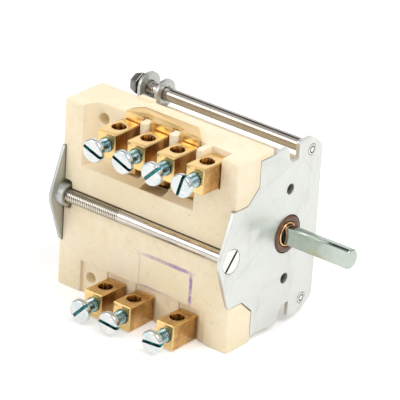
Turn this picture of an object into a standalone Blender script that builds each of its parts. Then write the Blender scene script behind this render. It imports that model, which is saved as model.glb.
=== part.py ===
"""Rotary heat control switch: a ceramic body between two steel plates, three tie rods, seven
brass terminals and a cam stack on one shaft.

Frame: metres, +Z up. The origin is where the shaft's axis meets the front face of the mounting
plate. +X points out along the shaft and -Y is the terminal side.
"""

import math

import bmesh
import bpy
from mathutils import Matrix, Vector

# Fits
SEAT = 0.0003
RUN = 0.0001
OVERCUT = 0.002

# Ceramic housing
HOUSING_LENGTH = 0.0631
HALF_HEIGHT = 0.0294
TERMINAL_FACE = -0.02475
SLAB_BACK = -0.0085
CHAMBER_BACK = 0.0135
CHAMBER_HALF_HEIGHT = 0.0185
CERAMIC_EDGE = 0.0008
CHAMBER_WALL = 0.0027
REAR_WALL = 0.0036
CONTACT_WELL_WALL = -0.0165
CONTACT_WELL_HALF_HEIGHT = 0.0135
UNDERSIDE_RELIEF_LENGTH = 0.006

# Terminal recesses in the ceramic
UPPER_RECESS_LEFT = -0.0560
UPPER_RECESS_RIGHT = -0.0150
UPPER_RECESS_FLOOR = -0.0200
UPPER_LEDGE = 0.0103
LEDGE_SLOPE = 0.30
RIB_WIDTH = 0.0025
RIB_FACE = -0.0229
WINDOW_HEIGHT = 0.0052
WINDOW_WIDTH = 0.0072
LOWER_RECESS_LEFT = -0.0545
LOWER_RECESS_RIGHT = -0.0085
LOWER_RECESS_TOP = -0.0192
LOWER_RECESS_FLOOR = -0.02385
LOWER_POCKET_SIDE = 0.0006
BLIND_HOLE_RADIUS = 0.0018
BLIND_HOLE_DEPTH = 0.0040
UPPER_BLIND_HOLE = (-0.0521, 0.0248)
LOWER_BLIND_HOLE = (-0.0511, -0.0240)
RIB_BOTTOM = 0.0185
OPEN_POCKET_BOTTOM = 0.0088
TOP_LIP_X = (-0.0480, -0.0430)
TOP_LIP_DEPTH = 0.0020
TOP_LIP_HEIGHT = 0.0008

# Steel plates
PLATE_THICKNESS = 0.0012
PLATE_LEFT = -0.0144
PLATE_RIGHT = 0.0138
PLATE_TOP = 0.0276
PLATE_SHOULDER = 0.0271
EAR_OUTER_Y = -0.0252
EAR_INNER_Y = -0.0191
EAR_SLOPE_TOP = 0.0191
PLATE_CORNER_Y = 0.0085
PLATE_CORNER_Z = 0.0240
NOTCH_MOUTH = -0.0023
NOTCH_LEFT = -0.0008
NOTCH_RIGHT = 0.00285
NOTCH_FLOOR = 0.0223
EAR_REACH = 0.0307
EAR_HALF_HEIGHT = 0.0149
EAR_TIP_RADIUS = 0.0060
FIXING_HOLE_PITCH = 0.028
FIXING_HOLE_RADIUS = 0.00165
FIXING_ROOM_DEPTH = 0.0120
COLLAR_WALL = 0.0011
COLLAR_LENGTH = 0.0010
REAR_PLATE_THICKNESS = 0.0010
REAR_RECESS = 0.0015
REAR_BAND_END = -0.0060
COLLAR_POCKET_HALF = 0.0045
LOBE_RADIUS = 0.0047
LOBE_STEP = 0.0026
DRAWN_WALL = 0.0007
REAR_COLLAR_LENGTH = 0.0024

# Tie rods
ROD_RADIUS = 0.0020
ROD_Y = 0.00894
ROD_Z = 0.0234
ROD_TENON_RADIUS = 0.0016
ROD_TAIL = 0.0048
WASHER_RADIUS = 0.0043
WASHER_TAB_HALF = 0.0021
WASHER_TAB_Z = (-0.0037, -0.0029)
CONE_RADIUS = 0.0038
CONE_TOP_RADIUS = 0.0031
CONE_HEIGHT = 0.0013
CONE_RIM = 0.0004
NUT_ACROSS_FLATS = 0.0067
NUT_THICKNESS = 0.0029
FRONT_WASHER_X = -0.0543
FRONT_WASHER_THICKNESS = 0.0010
TIE_BOLT_Y = -0.0252
TIE_HEAD_RADIUS = 0.0036
TIE_HEAD_RIM = 0.0002
TIE_SINK_DEPTH = 0.0010
TIE_SLOT_WIDTH = 0.0009
TIE_SLOT_DEPTH = 0.0006
TIE_SLOT_ANGLE = 49.0

# Terminals
BLOCK_WIDTH = 0.0065
BLOCK_DEPTH = 0.0108
BLOCK_HEIGHT = 0.0078
BLOCK_EDGE = 0.0003
WIRE_HOLE_RADIUS = 0.0022
UPPER_BLOCKS_X = (-0.0413, -0.0307, -0.0201, -0.0095)
LOWER_BLOCKS_X = (-0.0413, -0.0307, -0.0148)
UPPER_BLOCK_BOTTOM = 0.0202
LOWER_BLOCK_BOTTOM = -0.0291
LOWER_BLOCK_BACK = -0.0237
SPIGOT_RADIUS = 0.0015
UPPER_SPIGOT_LENGTH = 0.0040
SCREW_RADIUS = 0.0020
SCREW_HEAD_RADIUS = 0.0035
SCREW_HEAD_HEIGHT = 0.0017
SCREW_PROUD = 0.0045
SCREW_DEPTH = 0.0030
SCREW_TRAVEL = 0.0025
SLOT_WIDTH = 0.0011
SLOT_DEPTH = 0.0009
HEAD_CHAMFER = 0.0006
HEAD_SEAT_CHAMFER = 0.0002
SCREW_TIP_CHAMFER = 0.0004
SLOT_ANGLES = (-19.0, -21.0, 45.5, 74.0, 47.0, -5.0, 4.5)

# Contact parts
STRIP_THICKNESS = 0.0007
FLANGE_BACK = -0.0150
FLANGE_LEFT = -0.0437
FLANGE_RIGHT = -0.0172
FLANGE_NOTCH = 0.0018
FLANGE_LEFT_BEVEL = (0.0022, 0.0030)
FLANGE_RIGHT_BEVEL = (0.0050, 0.0050)
TAB_BOTTOM = 0.0185
LEG_WIDTH = 0.0040
LEG_RUN_Z = 0.0120
ARM_BOTTOM = 0.0065
LEAF_FACE = -0.0147
LEAF_THICKNESS = 0.0005
LEAF_WIDTH = 0.0040
LEAF_TOP = 0.0110
YOKE_HEIGHT = 0.0060
YOKE_OVERLAP = 0.0020
LEAF_FOOT = -0.0278
BUTTON_RADIUS = 0.0014
BUTTON_HEIGHT = 0.0006
BUTTON_Z = 0.0084

# Shaft and cam stack
SHAFT_RADIUS = 0.0030
SHAFT_REACH = 0.0227
SHAFT_EDGE = 0.0005
FLAT_START = -0.0008
FLAT_OFFSET = 0.00157
DRIVE_FLAT = 0.0022
SHAFT_TAIL = 0.0021
BUSH_RADIUS = 0.00365
BUSH_PROUD = 0.0004
BUSH_FLANGE_RADIUS = 0.0065
BUSH_FLANGE = 0.0012
RING_RADIUS = 0.00554
CLIP_THICKNESS = 0.0008
CLIP_RADIUS = 0.0046
CLIP_GROOVE = 0.0006
WHEEL_THICKNESS = 0.0028
WHEEL_RADIUS = 0.0080
WHEEL_NOTCHES = 8
NOTCH_DEPTH = 0.0010
CAM_RADIUS = 0.0080
CAM_DIP = 0.0012
CAM_THICKNESS = 0.0040
CAM_POSITIONS = 8
CAM_DIPS = ((0, 1, 2, 3), (0, 1, 4, 5), (0, 2, 4), (0, 3, 5))
HUB_RADIUS = 0.0048
GUIDE_THICKNESS = 0.0015
GUIDE_FACE = -0.0112
GUIDE_GROOVE = 0.0010
GUIDE_LEFT = -0.0560
GUIDE_RIGHT = -0.0040
PUSHER_HEAD_RADIUS = 0.0020
PUSHER_STEM_RADIUS = 0.0012
PUSHER_HEAD = 0.0010
DETENT_THICKNESS = 0.0005

# Places that follow from the sizes above
CERAMIC_REAR = -HOUSING_LENGTH
CHAMBER_REAR = CERAMIC_REAR + REAR_RECESS
CAVITY_REAR = CHAMBER_REAR + REAR_WALL
CAVITY_BACK = CHAMBER_BACK - CHAMBER_WALL
CAVITY_HALF_HEIGHT = CHAMBER_HALF_HEIGHT - CHAMBER_WALL
PLATE_BACK = -PLATE_THICKNESS
PLATE_BED = PLATE_BACK - SEAT
REAR_PLATE_FRONT = CHAMBER_REAR - SEAT
REAR_PLATE_BACK = REAR_PLATE_FRONT - REAR_PLATE_THICKNESS
STRIP_BACK = UPPER_RECESS_FLOOR - SEAT
STRIP_FACE = STRIP_BACK - STRIP_THICKNESS
UPPER_BLOCK_BACK = STRIP_FACE - SEAT
UPPER_SCREW_Z = UPPER_BLOCK_BOTTOM + BLOCK_HEIGHT / 2
LOWER_SCREW_Z = LOWER_BLOCK_BOTTOM + BLOCK_HEIGHT / 2
LEAF_BACK = LEAF_FACE - LEAF_THICKNESS
ARM_FACE = GUIDE_FACE - SEAT - STRIP_THICKNESS
WINDOW_BOTTOM = LEG_RUN_Z - 0.0010
BUSH_BACK = PLATE_BED - BUSH_FLANGE
CLIP_FRONT = BUSH_BACK - SEAT
WHEEL_FRONT = CLIP_FRONT - CLIP_THICKNESS - SEAT
FORK_X = LOWER_BLOCKS_X[-1]


def material(name, colour, roughness, metallic=0.0):
    """A Principled material of one colour."""
    made = bpy.data.materials.new(name)
    made.use_nodes = True
    shader = made.node_tree.nodes["Principled BSDF"]
    shader.inputs["Base Color"].default_value = (*colour, 1.0)
    shader.inputs["Roughness"].default_value = roughness
    shader.inputs["Metallic"].default_value = metallic
    return made


def rounded(corners, steps=5):
    """Points of a closed outline, each corner (a, b, radius) turned into an arc."""
    points = []
    for index, (a, b, radius) in enumerate(corners):
        here = Vector((a, b))
        before = Vector(corners[index - 1][:2]) - here
        after = Vector(corners[(index + 1) % len(corners)][:2]) - here
        angle = before.angle(after)
        if radius <= 0 or angle > math.pi - 0.02:
            points.append(here)
            continue
        reach = min(radius / math.tan(angle / 2), 0.49 * before.length, 0.49 * after.length)
        radius = reach * math.tan(angle / 2)
        bisector = (before.normalized() + after.normalized()).normalized()
        centre = here + bisector * (radius / math.sin(angle / 2))
        start = here + before.normalized() * reach - centre
        end = here + after.normalized() * reach - centre
        turn = start.angle_signed(end)
        for step in range(steps + 1):
            points.append(centre + Matrix.Rotation(-turn * step / steps, 2) @ start)
    return points


def circle(a, b, radius, sides=24, start=0.0):
    """Points of a circle round (a, b)."""
    turns = [start + 2 * math.pi * step / sides for step in range(sides)]
    return [Vector((a + radius * math.cos(turn), b + radius * math.sin(turn))) for turn in turns]


def place(axis, a, b, along):
    """The point whose two outline values are a and b, at this distance along the axis."""
    return {"x": (along, a, b), "y": (a, along, b), "z": (a, b, along)}[axis]


def prism(name, axis, outline, low, high):
    """A solid with this outline, from low to high along the axis."""
    shape = bmesh.new()
    base = [shape.verts.new(place(axis, a, b, low)) for a, b in outline]
    face = shape.faces.new(base)
    moved = bmesh.ops.extrude_face_region(shape, geom=[face])["geom"]
    reach = Vector(place(axis, 0, 0, high - low))
    bmesh.ops.translate(shape, vec=reach, verts=[v for v in moved if isinstance(v, bmesh.types.BMVert)])
    return finish_mesh(name, shape)


def box(name, low, high):
    """A block between two corners."""
    outline = [(low[0], low[1]), (high[0], low[1]), (high[0], high[1]), (low[0], high[1])]
    return prism(name, "z", outline, low[2], high[2])


def rod(name, axis, centre, radius, low, high, sides=24):
    """A round bar along an axis."""
    return prism(name, axis, circle(*centre, radius, sides, math.pi / sides), low, high)


def turned(name, profile, sides=24):
    """A profile of (along, radius) points spun round X; its ends lie on the axis or it is closed."""
    shape = bmesh.new()
    points = [shape.verts.new((along, 0, radius)) for along, radius in profile]
    loop = [shape.edges.new(pair) for pair in zip(points, points[1:])]
    if profile[0][1] > 0:
        loop.append(shape.edges.new((points[-1], points[0])))
    bmesh.ops.spin(
        shape, geom=points + loop, cent=(0, 0, 0), axis=(1, 0, 0), angle=2 * math.pi, steps=sides,
        use_merge=True, use_duplicate=False,
    )
    bmesh.ops.remove_doubles(shape, verts=shape.verts, dist=1e-6)
    return finish_mesh(name, shape)


def finish_mesh(name, shape):
    """Faces turned outwards, then one object."""
    bmesh.ops.recalc_face_normals(shape, faces=shape.faces)
    mesh = bpy.data.meshes.new(name)
    shape.to_mesh(mesh)
    shape.free()
    made = bpy.data.objects.new(name, mesh)
    bpy.context.scene.collection.objects.link(made)
    return made


def apply_modifiers(target):
    """The evaluated mesh takes the place of the mesh and its modifiers."""
    bpy.context.view_layer.update()
    graph = bpy.context.evaluated_depsgraph_get()
    mesh = bpy.data.meshes.new_from_object(target.evaluated_get(graph))
    target.modifiers.clear()
    target.data = mesh
    mesh.name = target.name


def combine(target, tools, operation):
    """Cuts the tools from the target, or joins them to it."""
    for tool in tools:
        step = target.modifiers.new(tool.name, "BOOLEAN")
        step.operation = operation
        step.solver = "EXACT"
        step.object = tool
    apply_modifiers(target)
    for tool in tools:
        bpy.data.objects.remove(tool)
    return target


def cut(target, *tools):
    return combine(target, tools, "DIFFERENCE")


def join(target, *tools):
    return combine(target, tools, "UNION")


def soften(target, width, segments=2, angle=50.0):
    """Rounds the sharp edges."""
    step = target.modifiers.new("edges", "BEVEL")
    step.width = width
    step.segments = segments
    step.limit_method = "ANGLE"
    step.angle_limit = math.radians(angle)
    apply_modifiers(target)
    return target


def dress(target, skin):
    """Gives the object its material and shades its round faces smooth."""
    target.data.materials.clear()
    target.data.materials.append(skin)
    target.data.shade_smooth()
    target.data.set_sharp_from_angle(angle=math.radians(32))
    return target


def bent_strip(name, path, thickness, x_middle, width):
    """Sheet metal of one thickness that follows a path of (y, z) points, its left side on the path."""
    left = [Vector(point) for point in path]
    right = []
    for index, point in enumerate(left):
        sides = []
        if index > 0:
            sides.append((point - left[index - 1]).normalized())
        if index < len(left) - 1:
            sides.append((left[index + 1] - point).normalized())
        normals = [Vector((side.y, -side.x)) for side in sides]
        middle = sum(normals, Vector((0, 0))).normalized()
        right.append(point + middle * (thickness / middle.dot(normals[0])))
    outline = left + right[::-1]
    return prism(name, "x", outline, x_middle - width / 2, x_middle + width / 2)


def mirrored(corners):
    """A half outline, from the ear's tip round to the right edge, with its lower half added."""
    return corners + [(a, -b, radius) for a, b, radius in corners[:0:-1]]


def plate_corners(grow=0.0):
    """The mounting plate's outline in Y and Z, grown by a clearance."""
    shoulder_end = SLAB_BACK + 0.0009
    half = [
        (-EAR_REACH - grow, 0.0, EAR_TIP_RADIUS + grow),
        (EAR_OUTER_Y - grow, EAR_HALF_HEIGHT + grow, 0.0005),
        (EAR_INNER_Y - grow, EAR_HALF_HEIGHT + grow, 0.0008),
        (PLATE_LEFT - grow, EAR_SLOPE_TOP + grow, 0.0005),
        (PLATE_LEFT - grow, PLATE_SHOULDER + grow, 0.0004),
        (shoulder_end, PLATE_SHOULDER + grow, 0.0002),
        (shoulder_end + 0.0004, PLATE_TOP + grow, 0.0002),
        (NOTCH_MOUTH, PLATE_TOP + grow, 0.0012),
        (NOTCH_LEFT, NOTCH_FLOOR, 0.0022),
        (NOTCH_RIGHT, NOTCH_FLOOR, 0.0003),
        (NOTCH_RIGHT, PLATE_TOP + grow, 0.0008),
        (PLATE_CORNER_Y, PLATE_TOP + grow, 0.0020),
        (PLATE_RIGHT + grow, PLATE_CORNER_Z + grow, 0.0030),
    ]
    return mirrored(half)


def make_plate(skin):
    """Front plate with its ear, four notch sides, threaded collars and holes."""
    plate = prism("mounting_plate", "x", rounded(plate_corners(), 4), PLATE_BACK, 0.0)
    fixings = [(0.0, side * FIXING_HOLE_PITCH / 2) for side in (1, -1)]
    collar = FIXING_HOLE_RADIUS + COLLAR_WALL
    for centre in fixings:
        join(plate, rod("collar", "x", centre, collar, PLATE_BACK - COLLAR_LENGTH, PLATE_BACK / 2, 20))
    holes = [rod("fixing", "x", centre, FIXING_HOLE_RADIUS, -OVERCUT * 2, OVERCUT, 20) for centre in fixings]
    holes.append(rod("bush_hole", "x", (0, 0), RING_RADIUS + SEAT, -OVERCUT, OVERCUT, 40))
    holes.append(rod("bolt_hole", "x", (TIE_BOLT_Y, 0), ROD_RADIUS + SEAT, -OVERCUT, OVERCUT))
    for side in (1, -1):
        holes.append(
            rod("rod_hole", "x", (ROD_Y, side * ROD_Z), ROD_TENON_RADIUS + RUN * 2, -OVERCUT, OVERCUT, 16)
        )
    rim = TIE_HEAD_RADIUS + RUN * 2
    sink = turned("sink", [
        (-TIE_SINK_DEPTH, 0.0), (-TIE_SINK_DEPTH, ROD_RADIUS + SEAT), (-TIE_HEAD_RIM, rim), (OVERCUT, rim),
        (OVERCUT, 0.0),
    ], 20)
    sink.data.transform(Matrix.Translation((0.0, TIE_BOLT_Y, 0.0)))
    return dress(cut(plate, sink, *holes), skin)


def rear_plate_corners():
    """The rear plate's outline: the same ear, a band across the ceramic and two rod lobes."""
    half = [
        (-EAR_REACH, 0.0, EAR_TIP_RADIUS),
        (EAR_OUTER_Y, EAR_HALF_HEIGHT, 0.0005),
        (REAR_BAND_END, EAR_HALF_HEIGHT, 0.0030),
        (ROD_Y - LOBE_RADIUS, ROD_Z - LOBE_RADIUS * 0.6, 0.0030),
        (ROD_Y - LOBE_RADIUS, ROD_Z + LOBE_RADIUS, LOBE_RADIUS),
        (ROD_Y + LOBE_RADIUS, ROD_Z + LOBE_RADIUS, LOBE_RADIUS),
    ]
    return mirrored(half)


def make_rear_plate(skin):
    """Rear clamp plate: lobes stepped forward past the chamber and a threaded collar for the front bolt."""
    outline = rounded(rear_plate_corners(), 4)
    plate = prism("rear_clamp_plate", "x", outline, REAR_PLATE_BACK, REAR_PLATE_FRONT)
    lobes = prism("lobes", "x", outline, REAR_PLATE_BACK + LOBE_STEP, REAR_PLATE_FRONT + LOBE_STEP)
    bend = CHAMBER_HALF_HEIGHT + RUN * 2
    low = REAR_PLATE_BACK - OVERCUT
    high = REAR_PLATE_FRONT + LOBE_STEP + OVERCUT
    wide = EAR_REACH + OVERCUT
    cut(lobes, box("band", (low, -wide, -bend), (high, wide, bend)))
    for side in (1, -1):
        ends = sorted((side * (bend + DRAWN_WALL), side * (HALF_HEIGHT + OVERCUT)))
        cut(plate, box("end", (low, -wide, ends[0]), (high, wide, ends[1])))
    join(plate, lobes)
    for side in (1, -1):
        wall = sorted((side * bend, side * (bend + DRAWN_WALL)))
        join(plate, box(
            "wall", (REAR_PLATE_BACK, ROD_Y - LOBE_RADIUS, wall[0]),
            (REAR_PLATE_FRONT + LOBE_STEP, ROD_Y + LOBE_RADIUS - RUN, wall[1]),
        ))
    collar_radius = ROD_RADIUS + SEAT + COLLAR_WALL
    collar = rod(
        "collar", "x", (TIE_BOLT_Y, 0), collar_radius, REAR_PLATE_BACK + SEAT,
        REAR_PLATE_FRONT + REAR_COLLAR_LENGTH,
    )
    join(plate, collar)
    high = REAR_PLATE_FRONT + REAR_COLLAR_LENGTH + OVERCUT
    holes = [rod("bolt_hole", "x", (TIE_BOLT_Y, 0), ROD_RADIUS + SEAT, low, high)]
    holes.append(rod("shaft_hole", "x", (0, 0), SHAFT_RADIUS + COLLAR_WALL, low, high))
    for side in (1, -1):
        holes.append(rod("rod_hole", "x", (ROD_Y, side * ROD_Z), ROD_RADIUS + SEAT, low, high))
    return dress(cut(plate, *holes), skin)


def make_corner_rod(name, side, skins):
    """A rod riveted flush into the front plate, with its cone washer, tabbed front washer and nut."""
    centre = (0.0, ROD_Y, side * ROD_Z)
    label = name.split("_")[0]
    lobe_back = REAR_PLATE_BACK + LOBE_STEP
    tail = lobe_back - ROD_TAIL
    profile = [
        (tail, 0.0),
        (tail, ROD_RADIUS - 0.0005),
        (tail + 0.0005, ROD_RADIUS),
        (PLATE_BED, ROD_RADIUS),
        (PLATE_BED, ROD_TENON_RADIUS),
        (0.0, ROD_TENON_RADIUS),
        (RUN, ROD_TENON_RADIUS - RUN),
        (RUN, 0.0),
    ]
    bore = ROD_RADIUS + SEAT
    cone_base = lobe_back - SEAT
    cone = [
        (cone_base, bore),
        (cone_base, CONE_RADIUS),
        (cone_base - CONE_RIM, CONE_RADIUS),
        (cone_base - CONE_HEIGHT, CONE_TOP_RADIUS),
        (cone_base - CONE_HEIGHT, bore),
    ]
    washer_front = FRONT_WASHER_X + FRONT_WASHER_THICKNESS
    flat = [
        (FRONT_WASHER_X, bore),
        (FRONT_WASHER_X, WASHER_RADIUS),
        (washer_front, WASHER_RADIUS),
        (washer_front, bore),
    ]
    front_washer = turned(label + "_front_washer", flat, 16)
    tab_z = sorted(side * z for z in WASHER_TAB_Z)
    lobe_front = REAR_PLATE_FRONT + LOBE_STEP
    join(front_washer, box("tab", (lobe_front + SEAT, -WASHER_TAB_HALF, tab_z[0]),
                           (FRONT_WASHER_X + SEAT, WASHER_TAB_HALF, tab_z[1])))
    nut_front = cone_base - CONE_HEIGHT - SEAT
    nut = prism(
        label + "_rod_nut", "x", circle(0, 0, NUT_ACROSS_FLATS / 2 / math.cos(math.pi / 6), 6, math.pi / 6),
        nut_front - NUT_THICKNESS, nut_front,
    )
    soften(nut, 0.0003, 1)
    cut(nut, rod("bore", "x", (0, 0), bore, nut_front - NUT_THICKNESS - OVERCUT, nut_front + OVERCUT))
    pieces = [
        (turned(name, profile, 16), skins["rod"]),
        (turned(label + "_cone_washer", cone, 18), skins["dark_steel"]),
        (front_washer, skins["plate"]),
        (nut, skins["dark_steel"]),
    ]
    for piece, skin in pieces:
        dress(piece, skin).location = centre


def slot_tool(width, depth, radius, front, angle):
    """A bar that cuts a screwdriver slot across a head lying on the X axis."""
    bar = box("slot", (front - depth, -radius * 1.5, -width / 2), (front + OVERCUT, radius * 1.5, width / 2))
    bar.data.transform(Matrix.Rotation(math.radians(angle), 4, "X"))
    return bar


def slotted_screw(name, radius, length, head_radius, head_height, slot):
    """A cheese-head screw on the X axis: the head's seat at 0, its top at +X."""
    width, depth, angle = slot
    profile = [
        (-length, 0.0),
        (-length, radius - SCREW_TIP_CHAMFER),
        (-length + SCREW_TIP_CHAMFER, radius),
        (0.0, radius),
        (0.0, head_radius - HEAD_SEAT_CHAMFER),
        (HEAD_SEAT_CHAMFER, head_radius),
        (head_height - HEAD_CHAMFER, head_radius),
        (head_height, head_radius - HEAD_CHAMFER),
        (head_height, 0.0),
    ]
    screw = turned(name, profile, 16)
    return cut(screw, slot_tool(width, depth, head_radius, head_height, angle))


def make_tie_bolt(skin):
    """The countersunk slotted bolt that runs along the terminal face into the rear collar."""
    tail = REAR_PLATE_BACK - SEAT * 2
    profile = [
        (tail, 0.0),
        (tail, ROD_RADIUS - SCREW_TIP_CHAMFER),
        (tail + SCREW_TIP_CHAMFER, ROD_RADIUS),
        (-TIE_SINK_DEPTH, ROD_RADIUS),
        (-TIE_HEAD_RIM, TIE_HEAD_RADIUS),
        (0.0, TIE_HEAD_RADIUS),
        (0.0, 0.0),
    ]
    bolt = turned("front_tie_bolt", profile, 20)
    cut(bolt, slot_tool(TIE_SLOT_WIDTH, TIE_SLOT_DEPTH, TIE_HEAD_RADIUS, 0.0, TIE_SLOT_ANGLE))
    bolt.location = (0.0, TIE_BOLT_Y, 0.0)
    return dress(bolt, skin)


def block_front(back):
    return back - BLOCK_DEPTH


def make_terminal(number, x, bottom, back, spigot_end, skins):
    """One brass block with its rear spigot, wire hole and clamping screw."""
    front = block_front(back)
    middle = bottom + BLOCK_HEIGHT / 2
    block = box(
        f"terminal_block_{number}", (x - BLOCK_WIDTH / 2, front, bottom),
        (x + BLOCK_WIDTH / 2, back, bottom + BLOCK_HEIGHT),
    )
    soften(block, BLOCK_EDGE, 1)
    join(block, rod("spigot", "y", (x, middle), SPIGOT_RADIUS, back - SEAT, spigot_end, 14))
    reach = front + SCREW_DEPTH + SCREW_TRAVEL + SEAT
    wire = rod(
        "wire", "z", (x, front + BLOCK_DEPTH / 2), WIRE_HOLE_RADIUS, bottom - OVERCUT,
        bottom + BLOCK_HEIGHT + OVERCUT, 20,
    )
    thread = rod("thread", "y", (x, middle), SCREW_RADIUS + RUN * 2, front - OVERCUT, reach, 18)
    dress(cut(block, wire, thread), skins["brass"])
    slot = (SLOT_WIDTH, SLOT_DEPTH, SLOT_ANGLES[number - 1])
    screw = slotted_screw(
        f"terminal_screw_{number}", SCREW_RADIUS, SCREW_PROUD + SCREW_DEPTH, SCREW_HEAD_RADIUS,
        SCREW_HEAD_HEIGHT, slot,
    )
    turn = Matrix(((0, 1, 0), (-1, 0, 0), (0, 0, 1))).to_4x4()
    screw.data.transform(turn)
    screw.location = (x, front - SCREW_PROUD, middle)
    dress(screw, skins["zinc"])


def recess_outline(ribbed):
    """The upper recess seen from above: a curved left wall and a floor, with a rib between linked blocks."""
    outside = TERMINAL_FACE - OVERCUT
    floor = UPPER_RECESS_FLOOR
    corners = [
        (UPPER_RECESS_LEFT - 0.0002, outside, 0.0),
        (UPPER_RECESS_LEFT, TERMINAL_FACE, 0.0),
        (UPPER_RECESS_LEFT + 0.0020, floor, 0.0026),
    ]
    linked = UPPER_BLOCKS_X[:3] if ribbed else ()
    for left, right in zip(linked, linked[1:]):
        middle = (left + right) / 2
        low, high = middle - RIB_WIDTH / 2, middle + RIB_WIDTH / 2
        corners += [(low, floor, 0.0), (low, RIB_FACE, 0.0009), (high, RIB_FACE, 0.0009), (high, floor, 0.0)]
    corners += [(UPPER_RECESS_RIGHT, floor, 0.0006), (UPPER_RECESS_RIGHT, outside, 0.0)]
    return rounded(corners, 4)


def housing_cuts():
    """Every recess and hole of the ceramic, as cutters."""
    above = HALF_HEIGHT + OVERCUT
    face = TERMINAL_FACE - OVERCUT
    rear = CERAMIC_REAR - OVERCUT
    cuts = [prism("plate_bed", "x", rounded(plate_corners(SEAT), 4), PLATE_BED, OVERCUT)]
    cuts.append(
        box("underside_relief", (-UNDERSIDE_RELIEF_LENGTH, PLATE_LEFT - SEAT, -above),
            (OVERCUT, CHAMBER_BACK, -PLATE_TOP + SEAT))
    )
    cuts.append(
        box("rear_bed", (rear, face, -EAR_HALF_HEIGHT - SEAT),
            (CHAMBER_REAR, CHAMBER_BACK + OVERCUT, EAR_HALF_HEIGHT + SEAT))
    )
    cuts.append(
        prism("rear_collar_pocket", "y", rounded([
            (rear, -COLLAR_POCKET_HALF, 0.0),
            (REAR_PLATE_FRONT + REAR_COLLAR_LENGTH + SEAT * 2, -COLLAR_POCKET_HALF, 0.0012),
            (REAR_PLATE_FRONT + REAR_COLLAR_LENGTH + SEAT * 2, COLLAR_POCKET_HALF, 0.0012),
            (rear, COLLAR_POCKET_HALF, 0.0),
        ]), face, TIE_BOLT_Y + ROD_RADIUS + COLLAR_WALL + SEAT * 3)
    )
    cuts.append(rod("bolt_groove", "x", (TIE_BOLT_Y, 0), ROD_RADIUS + SEAT, rear, OVERCUT))
    cuts.append(prism("upper_recess", "z", recess_outline(True), RIB_BOTTOM - SEAT, above))
    ledge = prism("ledge", "z", recess_outline(False), UPPER_LEDGE, RIB_BOTTOM)
    for vertex in ledge.data.vertices:
        if vertex.co.z < RIB_BOTTOM:
            vertex.co.z += LEDGE_SLOPE * (vertex.co.y - TERMINAL_FACE)
    cuts.append(ledge)
    pitch = UPPER_BLOCKS_X[1] - UPPER_BLOCKS_X[0]
    half = (pitch - RIB_WIDTH) / 2
    open_x = UPPER_BLOCKS_X[1]
    cuts.append(
        box("open_pocket", (open_x - half, TERMINAL_FACE + SEAT, OPEN_POCKET_BOTTOM),
            (open_x + half, CONTACT_WELL_WALL + SEAT, WINDOW_BOTTOM + SEAT))
    )
    last = UPPER_BLOCKS_X[3]
    half = BLOCK_WIDTH / 2 + SEAT
    cuts.append(
        box("last_pocket", (last - half, face, UPPER_BLOCK_BOTTOM - SEAT),
            (last + half, UPPER_RECESS_FLOOR, above))
    )
    cuts.append(
        box("lower_recess", (LOWER_RECESS_LEFT, face, -above),
            (LOWER_RECESS_RIGHT, LOWER_RECESS_FLOOR, LOWER_RECESS_TOP))
    )
    half = BLOCK_WIDTH / 2 + LOWER_POCKET_SIDE
    for x in LOWER_BLOCKS_X:
        cuts.append(
            box("lower_pocket", (x - half, face, -above),
                (x + half, LOWER_BLOCK_BACK + SEAT, LOWER_RECESS_TOP - SEAT))
        )
    for (x, z), floor in ((UPPER_BLIND_HOLE, UPPER_RECESS_FLOOR), (LOWER_BLIND_HOLE, LOWER_RECESS_FLOOR)):
        cuts.append(rod("blind_hole", "y", (x, z), BLIND_HOLE_RADIUS, face, floor + BLIND_HOLE_DEPTH, 16))
    return cuts + chamber_cuts()


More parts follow.
